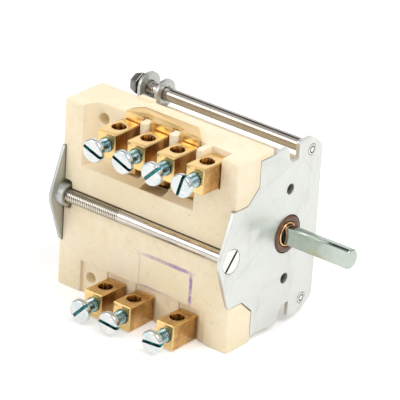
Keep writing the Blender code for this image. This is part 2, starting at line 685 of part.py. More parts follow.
def chamber_cuts():
    """The cam chamber, the contact well behind the terminals and the holes between them."""
    front = OVERCUT
    cuts = [
        prism("chamber", "x", rounded([
            (GUIDE_FACE - SEAT, -CAVITY_HALF_HEIGHT, 0.0),
            (CAVITY_BACK, -CAVITY_HALF_HEIGHT, 0.0020),
            (CAVITY_BACK, CAVITY_HALF_HEIGHT, 0.0020),
            (GUIDE_FACE - SEAT, CAVITY_HALF_HEIGHT, 0.0),
        ]), CAVITY_REAR, front),
        box("contact_well", (CAVITY_REAR, CONTACT_WELL_WALL, -CONTACT_WELL_HALF_HEIGHT),
            (front, GUIDE_FACE, CONTACT_WELL_HALF_HEIGHT)),
        box("guide_groove", (CAVITY_REAR, GUIDE_FACE - SEAT, -CAVITY_HALF_HEIGHT - GUIDE_GROOVE),
            (front, GUIDE_FACE + GUIDE_THICKNESS + SEAT, CAVITY_HALF_HEIGHT + GUIDE_GROOVE)),
        rod("bearing", "x", (0, 0), SHAFT_RADIUS + RUN, CHAMBER_REAR - OVERCUT, CAVITY_REAR + OVERCUT, 32),
    ]
    for side in (1, -1):
        centre = (0.0, side * FIXING_HOLE_PITCH / 2)
        room = FIXING_HOLE_RADIUS + COLLAR_WALL + SEAT
        cuts.append(rod("fixing_room", "x", centre, room, -FIXING_ROOM_DEPTH, front, 20))
    for x in UPPER_BLOCKS_X:
        linked = x in UPPER_BLOCKS_X[:3]
        half = WINDOW_WIDTH / 2 if linked else LEG_WIDTH / 2 + SEAT
        top = WINDOW_BOTTOM + WINDOW_HEIGHT if linked else UPPER_BLOCK_BOTTOM
        cuts.append(
            box("window", (x - half, STRIP_FACE - SEAT, WINDOW_BOTTOM),
                (x + half, CONTACT_WELL_WALL + SEAT, top))
        )
        hole_end = UPPER_RECESS_FLOOR + 0.0045
        cuts.append(
            rod("spigot_hole", "y", (x, UPPER_SCREW_Z), SPIGOT_RADIUS + SEAT, UPPER_RECESS_FLOOR - SEAT,
                hole_end, 14)
        )
    for x in LOWER_BLOCKS_X:
        half = LEAF_WIDTH / 2 + SEAT
        if x == FORK_X:
            half += (UPPER_BLOCKS_X[3] - UPPER_BLOCKS_X[2]) / 2
        cuts.append(
            box("leaf_slot", (x - half, LEAF_BACK - SEAT, LEAF_FOOT - SEAT),
                (x + half, LEAF_FACE + SEAT * 3, -CONTACT_WELL_HALF_HEIGHT + OVERCUT))
        )
        cuts.append(
            rod("spigot_hole", "y", (x, LOWER_SCREW_Z), SPIGOT_RADIUS + SEAT, LOWER_BLOCK_BACK - SEAT,
                LEAF_FACE, 16)
        )
    return cuts


def make_housing(skin):
    """The pressed ceramic body: the terminal slab with the cam chamber behind it."""
    slab = box("housing", (CERAMIC_REAR, TERMINAL_FACE, -HALF_HEIGHT), (0.0, SLAB_BACK, HALF_HEIGHT))
    chamber = prism("chamber", "x", rounded([
        (SLAB_BACK - OVERCUT, -CHAMBER_HALF_HEIGHT, 0.0),
        (CHAMBER_BACK, -CHAMBER_HALF_HEIGHT, 0.0030),
        (CHAMBER_BACK, CHAMBER_HALF_HEIGHT, 0.0030),
        (SLAB_BACK - OVERCUT, CHAMBER_HALF_HEIGHT, 0.0),
    ]), CHAMBER_REAR, PLATE_BED)
    soften(slab, CERAMIC_EDGE, 2)
    lip = box("lip", (TOP_LIP_X[0], SLAB_BACK - TOP_LIP_DEPTH, HALF_HEIGHT - CERAMIC_EDGE * 2),
              (TOP_LIP_X[1], SLAB_BACK, HALF_HEIGHT + TOP_LIP_HEIGHT))
    join(slab, chamber)
    join(slab, lip)
    return dress(cut(slab, *housing_cuts()), skin)


def fixed_contact_arm(name, x, top):
    """A brass leg with a contact button: down the recess, in through the window and down again."""
    path = [
        (STRIP_FACE, top),
        (STRIP_FACE, LEG_RUN_Z),
        (ARM_FACE, LEG_RUN_Z),
        (ARM_FACE, ARM_BOTTOM),
    ]
    inner = [
        (STRIP_BACK, top),
        (STRIP_BACK, LEG_RUN_Z + STRIP_THICKNESS),
        (ARM_FACE + STRIP_THICKNESS, LEG_RUN_Z + STRIP_THICKNESS),
        (ARM_FACE + STRIP_THICKNESS, ARM_BOTTOM),
    ]
    leg = prism(name, "x", path + inner[::-1], x - LEG_WIDTH / 2, x + LEG_WIDTH / 2)
    button = rod("button", "y", (x, BUTTON_Z), BUTTON_RADIUS, ARM_FACE - BUTTON_HEIGHT, ARM_FACE + SEAT, 16)
    return join(leg, button)


def make_link_strip(skin):
    """One brass stamping: a flange on the ceramic, a tab behind each of three blocks and three bent legs."""
    flange_bottom = HALF_HEIGHT + SEAT
    left_bevel, right_bevel = FLANGE_LEFT_BEVEL, FLANGE_RIGHT_BEVEL
    notches = []
    linked = UPPER_BLOCKS_X[:3]
    half_rib = RIB_WIDTH / 2 + SEAT
    for left, right in zip(linked, linked[1:]):
        middle = (left + right) / 2
        notches += [
            (middle - half_rib, STRIP_FACE, 0.0),
            (middle - half_rib, STRIP_FACE + FLANGE_NOTCH, 0.0005),
            (middle + half_rib, STRIP_FACE + FLANGE_NOTCH, 0.0005),
            (middle + half_rib, STRIP_FACE, 0.0),
        ]
    corners = [(FLANGE_LEFT, STRIP_FACE, 0.0)] + notches + [
        (FLANGE_RIGHT, STRIP_FACE, 0.0),
        (FLANGE_RIGHT, FLANGE_BACK - right_bevel[1], 0.0004),
        (FLANGE_RIGHT - right_bevel[0], FLANGE_BACK, 0.0008),
        (FLANGE_LEFT + left_bevel[0], FLANGE_BACK, 0.0008),
        (FLANGE_LEFT, FLANGE_BACK - left_bevel[1], 0.0008),
    ]
    strip = prism("link_strip", "z", rounded(corners, 3), flange_bottom, flange_bottom + STRIP_THICKNESS)
    edges = [FLANGE_LEFT]
    for left, right in zip(linked, linked[1:]):
        edges += [(left + right) / 2 - half_rib, (left + right) / 2 + half_rib]
    edges.append(FLANGE_RIGHT)
    for low, high in zip(edges[::2], edges[1::2]):
        tab_top = flange_bottom + STRIP_THICKNESS / 2
        tab = box("tab", (low, STRIP_FACE, TAB_BOTTOM), (high, STRIP_BACK, tab_top))
        join(strip, tab)
    for x in linked:
        join(strip, fixed_contact_arm("leg", x, TAB_BOTTOM + SEAT))
    holes = [
        rod("spigot_hole", "y", (x, UPPER_SCREW_Z), SPIGOT_RADIUS + SEAT, STRIP_FACE - OVERCUT,
            STRIP_BACK + OVERCUT, 16)
        for x in linked
    ]
    return dress(cut(strip, *holes), skin)


def make_single_contact(skin):
    """The fixed contact of the last upper terminal, held by that block's spigot."""
    x = UPPER_BLOCKS_X[3]
    strip = fixed_contact_arm("fixed_contact", x, UPPER_BLOCK_BOTTOM + BLOCK_HEIGHT - SEAT)
    hole = rod(
        "spigot_hole", "y", (x, UPPER_SCREW_Z), SPIGOT_RADIUS + SEAT, STRIP_FACE - OVERCUT,
        STRIP_BACK + OVERCUT, 14
    )
    return dress(cut(strip, hole), skin)


def make_leaf(number, foot_x, arm_xs, skin):
    """A spring leaf from a lower terminal's spigot up past its pushers, with a button at each top."""
    half = LEAF_WIDTH / 2
    low, high = min(arm_xs) - half, max(arm_xs) + half
    if len(arm_xs) == 1:
        leaf = box(f"contact_leaf_{number}", (low, LEAF_BACK, LEAF_FOOT), (high, LEAF_FACE, LEAF_TOP))
    else:
        yoke_top = -CONTACT_WELL_HALF_HEIGHT + 0.0040
        leaf = box(
            f"contact_leaf_{number}", (foot_x - half, LEAF_BACK, LEAF_FOOT),
            (foot_x + half, LEAF_FACE, yoke_top),
        )
        join(leaf, box("yoke", (low, LEAF_BACK, yoke_top - YOKE_HEIGHT), (high, LEAF_FACE, yoke_top - SEAT)))
        for x in arm_xs:
            arm = box("arm", (x - half, LEAF_BACK, yoke_top - YOKE_OVERLAP), (x + half, LEAF_FACE, LEAF_TOP))
            join(leaf, arm)
    for x in arm_xs:
        button_end = LEAF_FACE + BUTTON_HEIGHT
        join(leaf, rod("button", "y", (x, BUTTON_Z), BUTTON_RADIUS, LEAF_FACE - SEAT, button_end, 14))
    hole = rod(
        "spigot_hole", "y", (foot_x, LOWER_SCREW_Z), SPIGOT_RADIUS + SEAT, LEAF_BACK - OVERCUT,
        LEAF_FACE + OVERCUT, 16,
    )
    return dress(cut(leaf, hole), skin)


def make_bush(skins):
    """The brass bearing and the brown ring that centres it in the plate."""
    bore = SHAFT_RADIUS + RUN
    bush = [
        (BUSH_BACK, bore),
        (BUSH_BACK, BUSH_FLANGE_RADIUS),
        (PLATE_BED, BUSH_FLANGE_RADIUS),
        (PLATE_BED, BUSH_RADIUS),
        (BUSH_PROUD - RUN, BUSH_RADIUS),
        (BUSH_PROUD, BUSH_RADIUS - RUN),
        (BUSH_PROUD, bore),
    ]
    dress(turned("shaft_bush", bush, 28), skins["brass"])
    ring = [
        (PLATE_BACK, BUSH_RADIUS + RUN),
        (PLATE_BACK, RING_RADIUS),
        (SEAT, RING_RADIUS),
        (SEAT, BUSH_RADIUS + RUN),
    ]
    dress(turned("bush_ring", ring, 32), skins["fibre"])


def make_shaft(skin):
    """A round shaft with a flat for the knob, a clip groove and two drive flats for the cams."""
    tail = CAVITY_REAR - SHAFT_TAIL
    groove_front = CLIP_FRONT + RUN
    groove_back = CLIP_FRONT - CLIP_THICKNESS - RUN
    profile = [
        (tail, 0.0),
        (tail, SHAFT_RADIUS - SHAFT_EDGE),
        (tail + SHAFT_EDGE, SHAFT_RADIUS),
        (groove_back, SHAFT_RADIUS),
        (groove_back, SHAFT_RADIUS - CLIP_GROOVE),
        (groove_front, SHAFT_RADIUS - CLIP_GROOVE),
        (groove_front, SHAFT_RADIUS),
        (SHAFT_REACH - SHAFT_EDGE, SHAFT_RADIUS),
        (SHAFT_REACH, SHAFT_RADIUS - SHAFT_EDGE),
        (SHAFT_REACH, 0.0),
    ]
    shaft = turned("shaft", profile, 32)
    wide = SHAFT_RADIUS + OVERCUT
    flat = box("flat", (FLAT_START, -wide, -wide), (SHAFT_REACH + OVERCUT, -FLAT_OFFSET, wide))
    cuts = [flat]
    for side in (1, -1):
        low, high = sorted((side * DRIVE_FLAT, side * wide))
        cuts.append(box("drive", (CAVITY_REAR + SEAT, -wide, low), (WHEEL_FRONT, wide, high)))
    return dress(cut(shaft, *cuts), skin)


def drive_hole(low, high):
    """A cutter with the shaft's round sides and two flats."""
    hole = rod("drive", "x", (0, 0), SHAFT_RADIUS + SEAT, low, high, 20)
    wide = SHAFT_RADIUS + OVERCUT
    for side in (1, -1):
        bottom, top = sorted((side * (DRIVE_FLAT + SEAT), side * wide))
        cut(hole, box("side", (low - OVERCUT, -wide, bottom), (high + OVERCUT, wide, top)))
    return hole


def cam_outline(dips):
    """A lobe circle with a smooth dip at each listed position, the first one facing the pushers."""
    steps = CAM_POSITIONS * 6
    points = []
    for step in range(steps):
        turn = 2 * math.pi * step / steps
        depth = 0.0
        for dip in dips:
            centre = math.pi + 2 * math.pi * dip / CAM_POSITIONS
            away = abs((turn - centre + math.pi) % (2 * math.pi) - math.pi)
            share = away / (math.pi / CAM_POSITIONS)
            if share < 1:
                depth = max(depth, 0.5 + 0.5 * math.cos(math.pi * max(0.0, 2 * share - 1)))
        radius = CAM_RADIUS - CAM_DIP * depth
        points.append(Vector((radius * math.cos(turn), radius * math.sin(turn))))
    return points


def wheel_outline():
    """A detent wheel: a circle with evenly spaced round notches."""
    steps = WHEEL_NOTCHES * 6
    points = []
    for step in range(steps):
        turn = 2 * math.pi * step / steps
        depth = NOTCH_DEPTH * max(0.0, math.cos(WHEEL_NOTCHES * turn)) ** 0.7
        radius = WHEEL_RADIUS - depth
        points.append(Vector((radius * math.cos(turn), radius * math.sin(turn))))
    return points


def make_cam_stack(skins):
    """The clip, the detent wheel, four cams with hubs and the rear sleeve, all driven by the shaft."""
    clip_back = CLIP_FRONT - CLIP_THICKNESS
    clip = rod("shaft_clip", "x", (0, 0), CLIP_RADIUS, clip_back, CLIP_FRONT, 28)
    neck = SHAFT_RADIUS - CLIP_GROOVE + RUN
    gap = rod("gap", "x", (0, 0), neck, clip_back - OVERCUT, CLIP_FRONT + OVERCUT, 24)
    opening = neck * 0.8
    mouth = box("mouth", (clip_back - OVERCUT, -opening, 0.0),
                (CLIP_FRONT + OVERCUT, opening, CLIP_RADIUS * 2))
    dress(cut(clip, gap, mouth), skins["rod"])

    wheel_back = WHEEL_FRONT - WHEEL_THICKNESS
    wheel = prism("detent_wheel", "x", wheel_outline(), wheel_back, WHEEL_FRONT)
    dress(cut(wheel, drive_hole(wheel_back - OVERCUT, WHEEL_FRONT + OVERCUT)), skins["dark_steel"])

    pitch = UPPER_BLOCKS_X[1] - UPPER_BLOCKS_X[0]
    for number, (x, dips) in enumerate(zip(UPPER_BLOCKS_X, CAM_DIPS), 1):
        front, back = x + CAM_THICKNESS / 2, x - CAM_THICKNESS / 2
        hub_end = front - pitch + SEAT
        cam = prism(f"cam_{number}", "x", cam_outline(dips), back, front)
        join(cam, rod("hub", "x", (0, 0), HUB_RADIUS, hub_end, x, 20))
        dress(cut(cam, drive_hole(hub_end - OVERCUT, front + OVERCUT)), skins["cam"])

    sleeve_front = UPPER_BLOCKS_X[0] + CAM_THICKNESS / 2 - pitch
    sleeve = [
        (CAVITY_REAR + SEAT, SHAFT_RADIUS + SEAT),
        (CAVITY_REAR + SEAT, HUB_RADIUS),
        (sleeve_front, HUB_RADIUS),
        (sleeve_front, SHAFT_RADIUS + SEAT),
    ]
    dress(turned("rear_sleeve", sleeve, 20), skins["rod"])


def make_guide_plate(skin):
    """The insulating plate that slides into the ceramic's grooves and guides the pushers."""
    half = CAVITY_HALF_HEIGHT + GUIDE_GROOVE - SEAT
    back = GUIDE_FACE + GUIDE_THICKNESS
    plate = box("pusher_guide", (GUIDE_LEFT, GUIDE_FACE, -half), (GUIDE_RIGHT, back, half))
    holes = [
        rod("guide", "y", (x, 0.0), PUSHER_STEM_RADIUS + SEAT, GUIDE_FACE - OVERCUT, back + OVERCUT, 16)
        for x in UPPER_BLOCKS_X
    ]
    return dress(cut(plate, *holes), skin)


def make_pushers(skin):
    """Four headed pins between the cams and the spring leaves, each resting clear of its cam's lobes."""
    nose = -CAM_RADIUS - SEAT
    shoulder = nose - PUSHER_HEAD
    tip = LEAF_FACE + SEAT
    for number, x in enumerate(UPPER_BLOCKS_X, 1):
        profile = [
            (tip, 0.0),
            (tip, PUSHER_STEM_RADIUS),
            (shoulder, PUSHER_STEM_RADIUS),
            (shoulder, PUSHER_HEAD_RADIUS),
            (nose - 0.0004, PUSHER_HEAD_RADIUS),
            (nose, PUSHER_HEAD_RADIUS - 0.0007),
            (nose, 0.0),
        ]
        pusher = turned(f"pusher_{number}", profile, 16)
        pusher.data.transform(Matrix(((0, 1, 0), (1, 0, 0), (0, 0, -1))).to_4x4())
        pusher.location = (x, 0.0, 0.0)
        dress(pusher, skin)


def make_detent_spring(skin):
    """A hairpin leaf round the detent wheel, its two noses over opposite notches."""
    nose = WHEEL_RADIUS + SEAT
    arm = nose + 0.0012
    wall = CAVITY_BACK - SEAT - DETENT_THICKNESS
    half = [(-0.0050, arm), (-0.0018, arm - 0.0002), (0.0, nose), (0.0018, arm - 0.0002), (wall, arm)]
    path = half + [(y, -z) for y, z in half[::-1]]
    middle = WHEEL_FRONT - WHEEL_THICKNESS / 2
    spring = bent_strip("detent_spring", path[::-1], DETENT_THICKNESS, middle, WHEEL_THICKNESS - SEAT * 2)
    return dress(spring, skin)


def clear_scene():
    for old in list(bpy.data.objects):
        bpy.data.objects.remove(old)


def main():
    clear_scene()
    skins = {
        "ceramic": material("ceramic", (0.86, 0.74, 0.55), 0.55),
        "plate": material("galvanised_steel", (0.74, 0.75, 0.73), 0.35, 1.0),
        "rod": material("bright_steel", (0.80, 0.80, 0.78), 0.18, 1.0),
        "zinc": material("zinc_steel", (0.72, 0.78, 0.80), 0.25, 1.0),
        "dark_steel": material("dark_steel", (0.16, 0.15, 0.14), 0.45, 1.0),
        "brass": material("brass", (0.80, 0.55, 0.22), 0.30, 1.0),
        "bronze": material("spring_bronze", (0.72, 0.42, 0.22), 0.35, 1.0),
        "fibre": material("brown_fibre", (0.28, 0.12, 0.05), 0.60),
        "cam": material("cam_resin", (0.12, 0.07, 0.04), 0.50),
        "steatite": material("steatite", (0.85, 0.80, 0.70), 0.45),
    }
    make_housing(skins["ceramic"])
    make_plate(skins["plate"])
    make_rear_plate(skins["plate"])
    make_tie_bolt(skins["zinc"])
    make_corner_rod("upper_corner_rod", 1, skins)
    make_corner_rod("lower_corner_rod", -1, skins)
    make_bush(skins)
    make_shaft(skins["rod"])
    make_cam_stack(skins)
    make_detent_spring(skins["bronze"])
    make_link_strip(skins["brass"])
    make_single_contact(skins["brass"])
    fork = UPPER_BLOCKS_X[2:]
    for number, x in enumerate(LOWER_BLOCKS_X, 1):
        make_leaf(number, x, fork if x == FORK_X else (x,), skins["bronze"])
    make_guide_plate(skins["fibre"])
    make_pushers(skins["steatite"])
    upper_spigot_end = UPPER_RECESS_FLOOR + UPPER_SPIGOT_LENGTH
    for index, x in enumerate(UPPER_BLOCKS_X):
        make_terminal(index + 1, x, UPPER_BLOCK_BOTTOM, UPPER_BLOCK_BACK, upper_spigot_end, skins)
    for index, x in enumerate(LOWER_BLOCKS_X):
        make_terminal(index + 5, x, LOWER_BLOCK_BOTTOM, LOWER_BLOCK_BACK, LEAF_FACE + SEAT * 2, skins)


main()
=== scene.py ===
"""Looks of the rotary heat control switch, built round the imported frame.

Metres, +Z up. The origin is where the shaft's axis meets the front face of the mounting plate,
+X points out along the shaft and -Y is the terminal side.
"""

import math

import bmesh
import bpy
from bpy.props import FloatProperty, FloatVectorProperty, PointerProperty
from mathutils import Matrix, Vector


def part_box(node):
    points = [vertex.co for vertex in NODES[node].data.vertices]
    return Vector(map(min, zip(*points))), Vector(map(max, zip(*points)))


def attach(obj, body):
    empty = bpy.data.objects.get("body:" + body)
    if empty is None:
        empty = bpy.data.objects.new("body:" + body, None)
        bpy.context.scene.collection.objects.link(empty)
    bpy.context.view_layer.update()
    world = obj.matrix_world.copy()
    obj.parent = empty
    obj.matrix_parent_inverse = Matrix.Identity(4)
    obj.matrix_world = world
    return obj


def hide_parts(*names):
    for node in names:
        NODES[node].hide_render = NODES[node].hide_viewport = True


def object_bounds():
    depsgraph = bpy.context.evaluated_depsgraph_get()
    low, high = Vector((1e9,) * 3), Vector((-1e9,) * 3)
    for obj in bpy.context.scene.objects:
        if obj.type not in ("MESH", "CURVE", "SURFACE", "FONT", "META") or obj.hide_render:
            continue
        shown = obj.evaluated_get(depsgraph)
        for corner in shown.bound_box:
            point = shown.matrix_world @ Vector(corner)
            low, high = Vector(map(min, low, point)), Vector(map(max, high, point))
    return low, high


bl_info = {
    "name": "Rotary heat switch looks",
    "version": (1, 0, 0),
    "blender": (4, 5, 0),
    "location": "3D View > Sidebar > Heat switch",
    "description": "Finishes a rotary heat switch: ceramic, plates, rods, terminals and studio",
    "category": "Object",
}

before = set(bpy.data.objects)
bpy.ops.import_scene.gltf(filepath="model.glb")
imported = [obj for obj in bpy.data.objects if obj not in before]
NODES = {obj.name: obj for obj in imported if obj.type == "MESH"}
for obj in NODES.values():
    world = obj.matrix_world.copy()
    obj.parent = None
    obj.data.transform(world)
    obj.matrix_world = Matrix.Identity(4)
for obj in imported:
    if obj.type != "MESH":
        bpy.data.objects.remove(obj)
CAD_BOX = [list(corner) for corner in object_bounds()]

# The camera as it was fitted to the photograph, in this frame
CAMERA_PLACE = (0.52540, -0.72469, 0.43475)
CAMERA_RIGHT = (0.77467, 0.62978, 0.05705)
CAMERA_DOWN = (0.31153, -0.30156, -0.90111)
CAMERA_FORWARD = (-0.55030, 0.71584, -0.42981)
CAMERA_LENS = 317.6
CAMERA_SENSOR = 36.0

# The three rods, their threads and what sits on them
AXIS_X = Vector((1, 0, 0))
ROD_RADIUS = 0.0020
ROD_Y = 0.00894
ROD_Z = 0.0234
ROD_SHOULDER = 0.0007  # how deep the bar goes into the mounting plate
ROD_THREAD_LENGTH = 0.0085
SHANK_CHAMFER = 0.0004
THREAD_PITCH = 0.0007
THREAD_DEPTH = 0.00038
THREAD_STEPS = 7  # profile points in a pitch
THREAD_CREST = 0.42  # share of half a pitch that stays at full radius
THREAD_ROOT = 0.90  # share of half a pitch at which the full depth is reached
ROOT_SHARE = 0.60  # share of the depth past which a face takes the root's darker material, painted as shade in the groove
TENON_RADIUS = 0.0016
TENON_RING = (0.00118, 0.00072)
NUT_TAPER = 0.28
NUT_BORE_REACH = ROD_RADIUS + 0.0006
CONE_BORE = ROD_RADIUS + 0.0003
CONE_TOP_RADIUS = 0.0031
CONE_RIDGES = 24
CONE_RIDGE_SHARE = 0.03
TIE_BOLT_Y = -0.0252
TIE_SINK_DEPTH = 0.0010
TIE_HEAD_RIM = 0.0002
TIE_SLOT = (0.0009, 0.0006, 49.0)  # width, depth and angle in degrees
TIE_THREAD_LENGTH = 0.0235

# Terminals
SLOT_ANGLES = (-19.0, -21.0, 45.5, 74.0, 47.0, -5.0, 4.5)
SLOT_WIDTH = 0.0010
SLOT_DEPTH = 0.0009
HEAD_RADIUS = 0.0035
HEAD_HEIGHT = 0.0017
HEAD_ROUNDING = 0.00065
HEAD_CHAMFER = 0.00015
WIRE_HOLE_RADIUS = 0.0022
BLOCK_DEPTH = 0.0108

# Shaft, bush and ring
SHAFT_JOINT_X = -0.0015
SHAFT_END_ROUNDING = 0.00055
FLAT_START = -0.0008
FLAT_OFFSET = 0.00157
BUSH_RADIUS = 0.00365
BUSH_BORE = 0.0031
BUSH_FLANGE = 0.0012
BUSH_RIM = 0.00020
RING_CLEARANCE = 0.0001
RING_DOME = 0.00045

# The bare stamp on the terminal face: its sides, its front limit and the half widths of its lines
STAMP_LEFT, STAMP_RIGHT = -0.0329, -0.0141
STAMP_TOP, STAMP_BOTTOM = -0.0090, -0.0188
STAMPED_FACE = -0.0235
STAMP_LINES = {"top": 0.00062, "right": 0.00060, "left": 0.00030, "bottom": 0.00036}

# Meshing
ROUND_SIDES = 48
CAD_MERGE = 2e-5
CAD_FLAT_ANGLE = 0.4
CAD_EDGE_ANGLE = 38.0
SMOOTH_ANGLE = 34.0
NICK = 0.00012  # rounding of turned and milled edges
SLOT_NICK = 0.00008

# Colours that stay fixed
SPECK_BROWN = (0.40, 0.27, 0.16, 1.0)
STAIN_TAN = (0.66, 0.47, 0.29, 1.0)
SMUDGE_GREY = (0.50, 0.50, 0.45, 1.0)
DIRT_BROWN = (0.30, 0.29, 0.25, 1.0)
ZINC_BLUE = (0.52, 0.63, 0.66, 1.0)
ZINC_WARM = (0.80, 0.78, 0.74, 1.0)
# Dark and mid teal painted as shade in the screws' slots and thread roots
SHADE_TEAL = ((0.012, 0.075, 0.085, 1.0), (0.055, 0.27, 0.26, 1.0))
BORE_BROWN = (0.26, 0.11, 0.03, 1.0)
TIE_STEEL = (0.62, 0.575, 0.505)
PLATED_STEEL = (0.82, 0.82, 0.78)
SHAFT_STEEL = (0.46, 0.52, 0.465)
DARK_STEEL = (0.22, 0.205, 0.19)
BRONZE = (0.72, 0.43, 0.22)
BUSH_COPPER = (0.80, 0.46, 0.23)
FIBRE_BROWN = (0.130, 0.049, 0.017)
CAM_RESIN = (0.10, 0.055, 0.03)
STEATITE = (0.78, 0.72, 0.60)
# The rear plate and its front washers are made darker as painted shade.
FRONT_SHEET, SHADED_REAR_SHEET = 1.0, 0.74  # brightness of the plates

# Studio: lamps are place and size; the room's cards are tone, rise and fall of the climb in radians
FLOOR_HALF_WIDTH = 4.0
FLOOR_GAP = 0.00002
KEY_LAMP = ((0.60, 0.04, 0.99), 0.60)
FRONT_LAMP = ((-0.60, -0.82, 0.50), 0.62)
ROOM_LOW = (0.20, 0.185, 0.17, 1.0)
ROOM_HIGH = (1.0, 1.0, 1.0, 1.0)
DARK_CARD = ((0.03, 0.03, 0.03, 1.0), (0.82, 0.95), (1.35, 1.55))
PALE_CARD = ((1.55, 1.55, 1.55, 1.0), (0.15, 0.30), (0.72, 0.84))


class SwitchStudio(bpy.types.PropertyGroup):
    """Floor, lamps and surrounding light."""

    floor_colour: FloatVectorProperty(
        name="Floor colour", description="Pale floor under the switch", subtype="COLOR",
        size=3, min=0.0, max=1.0, default=(0.90, 0.90, 0.90),
    )
    floor_glow: FloatProperty(
        name="Floor glow", description="How much the floor shows as white to camera and gloss",
        subtype="FACTOR", min=0.0, max=1.0, default=0.30,
    )
    key_power: FloatProperty(
        name="Key lamp", description="Power of the large soft lamp", unit="POWER", min=0.0,
        default=5.8,
    )
    fill_power: FloatProperty(
        name="Front lamp", description="Power of the soft lamp on the terminal side", unit="POWER",
        min=0.0, default=2.9,
    )
    sky_strength: FloatProperty(
        name="Room light", description="Strength of the light from all round", min=0.0,
        default=0.80,
    )


class SwitchFinishes(bpy.types.PropertyGroup):
    """Colours and scales of the finishes."""

    ceramic_colour: FloatVectorProperty(
        name="Ceramic", description="Cream of the pressed ceramic", subtype="COLOR", size=3,
        min=0.0, max=1.0, default=(0.93, 0.815, 0.61),
    )
    stamp_colour: FloatVectorProperty(
        name="Stamp ink", description="Purple ink of the bare stamp outline", subtype="COLOR",
        size=3, min=0.0, max=1.0, default=(0.28, 0.13, 0.40),
    )
    brass_colour: FloatVectorProperty(
        name="Brass", description="Cut brass", subtype="COLOR", size=3, min=0.0, max=1.0,
        default=(0.86, 0.60, 0.26),
    )
    # Brown of the long sides, partly drawn skin and partly painted darker reflection, and of the
    # lower row's tops, painted as darker reflection.
    brass_skin: FloatVectorProperty(
        name="Brass skin", description="Drawn brown skin of the brass bar", subtype="COLOR", size=3,
        min=0.0, max=1.0, default=(0.52, 0.315, 0.125),
    )
    plate_colour: FloatVectorProperty(
        name="Galvanised steel", description="Sheet of the two plates", subtype="COLOR", size=3,
        min=0.0, max=1.0, default=(0.70, 0.712, 0.675),
    )
    zinc_colour: FloatVectorProperty(
        name="Zinc plate", description="Bluish plating of the screws", subtype="COLOR", size=3,
        min=0.0, max=1.0, default=(0.69, 0.695, 0.68),
    )
    thread_colour: FloatVectorProperty(
        name="Teal zinc", description="Deep teal of the screw threads and slots", subtype="COLOR",
        size=3, min=0.0, max=1.0, default=(0.19, 0.345, 0.40),
    )
    bright_colour: FloatVectorProperty(
        name="Bright steel", description="Drawn rods and shaft", subtype="COLOR", size=3,
        min=0.0, max=1.0, default=(0.47, 0.43, 0.39),
    )
    edge_radius: FloatProperty(
        name="Ceramic edge", description="Rounding of the ceramic's moulded edges", unit="LENGTH",
        min=0.0, default=0.00022, precision=5,
    )
    sheet_edge: FloatProperty(
        name="Sheet edge", description="Rounding of the metal edges", unit="LENGTH", min=0.0,
        default=0.00010, precision=5,
    )


class Nodes:
    """Places shader nodes in a tree and links them by name."""

    def __init__(self, tree):
        self.tree = tree

    def add(self, kind, inputs=None, **settings):
        node = self.tree.nodes.new(kind)
        for name, value in settings.items():
            setattr(node, name, value)
        for name, value in (inputs or {}).items():
            self.feed(node.inputs[name], value)
        return node

    def feed(self, socket, value):
        """A value is set on the socket; another node's output is linked to it."""
        if isinstance(value, bpy.types.NodeSocket):
            self.tree.links.new(value, socket)
        else:
            socket.default_value = value

    def math(self, operation, *values):
        node = self.add("ShaderNodeMath", operation=operation)
        for socket, value in zip(node.inputs, values):
            self.feed(socket, value)
        return node.outputs[0]

    def mix(self, factor, a, b):
        """Mixes two colours."""
        node = self.add("ShaderNodeMix", data_type="RGBA")
        self.feed(node.inputs[0], factor)
        self.feed(node.inputs[6], a)
        self.feed(node.inputs[7], b)
        return node.outputs[2]

    def ramp(self, value, low, high):
        """0 below low and 1 above high, smooth between."""
        limits = {"Value": value, "From Min": low, "From Max": high}
        node = self.add("ShaderNodeMapRange", limits, interpolation_type="SMOOTHSTEP", clamp=True)
        return node.outputs["Result"]

    def noise(self, place, scale, detail=3.0, roughness=0.55):
        inputs = {"Vector": place, "Scale": scale, "Detail": detail, "Roughness": roughness}
        return self.add("ShaderNodeTexNoise", inputs).outputs["Fac"]

    def stretched(self, place, scale):
        """Coordinates squeezed along one axis, for drawn or brushed lines."""
        return self.add("ShaderNodeMapping", {"Vector": place, "Scale": scale}).outputs["Vector"]

    def bump(self, height, strength, distance):
        inputs = {"Height": height, "Strength": strength, "Distance": distance}
        return self.add("ShaderNodeBump", inputs).outputs["Normal"]


def new_group(name, inputs, outputs):
    """An empty shader node group with these float, vector and colour sockets."""
    tree = bpy.data.node_groups.new(name, "ShaderNodeTree")
    for label, kind, value in inputs:
        socket = tree.interface.new_socket(label, in_out="INPUT", socket_type=kind)
        if value is not None:
            socket.default_value = value
    for label, kind in outputs:
        tree.interface.new_socket(label, in_out="OUTPUT", socket_type=kind)
    nodes = Nodes(tree)
    return tree, nodes, nodes.add("NodeGroupInput"), nodes.add("NodeGroupOutput")


def scratch_group():
    """Fine straight scratches that cross at two slants, as a mask."""
    found = bpy.data.node_groups.get("fine_scratches")
    if found:
        return found
    tree, nodes, inside, outside = new_group(
        "fine_scratches",
        [
            ("Vector", "NodeSocketVector", None), ("Scale", "NodeSocketFloat", 900.0),
            ("Amount", "NodeSocketFloat", 0.5),
        ],
        [("Mask", "NodeSocketFloat")],
    )
    masks = []
    for turn in (0.5, -0.9, 1.9):
        slant = {"Vector": inside.outputs["Vector"], "Rotation": (turn, turn * 0.6, turn * 1.3)}
        turned = nodes.add("ShaderNodeMapping", slant).outputs["Vector"]
        lines = nodes.stretched(turned, (1.0, 0.02, 0.05))
        grain = nodes.noise(lines, inside.outputs["Scale"], 2.0, 0.5)
        masks.append(nodes.ramp(grain, 0.66, 0.74))
    total = nodes.math("MAXIMUM", nodes.math("MAXIMUM", masks[0], masks[1]), masks[2])
    nodes.feed(outside.inputs["Mask"], nodes.math("MULTIPLY", total, inside.outputs["Amount"]))
    return tree


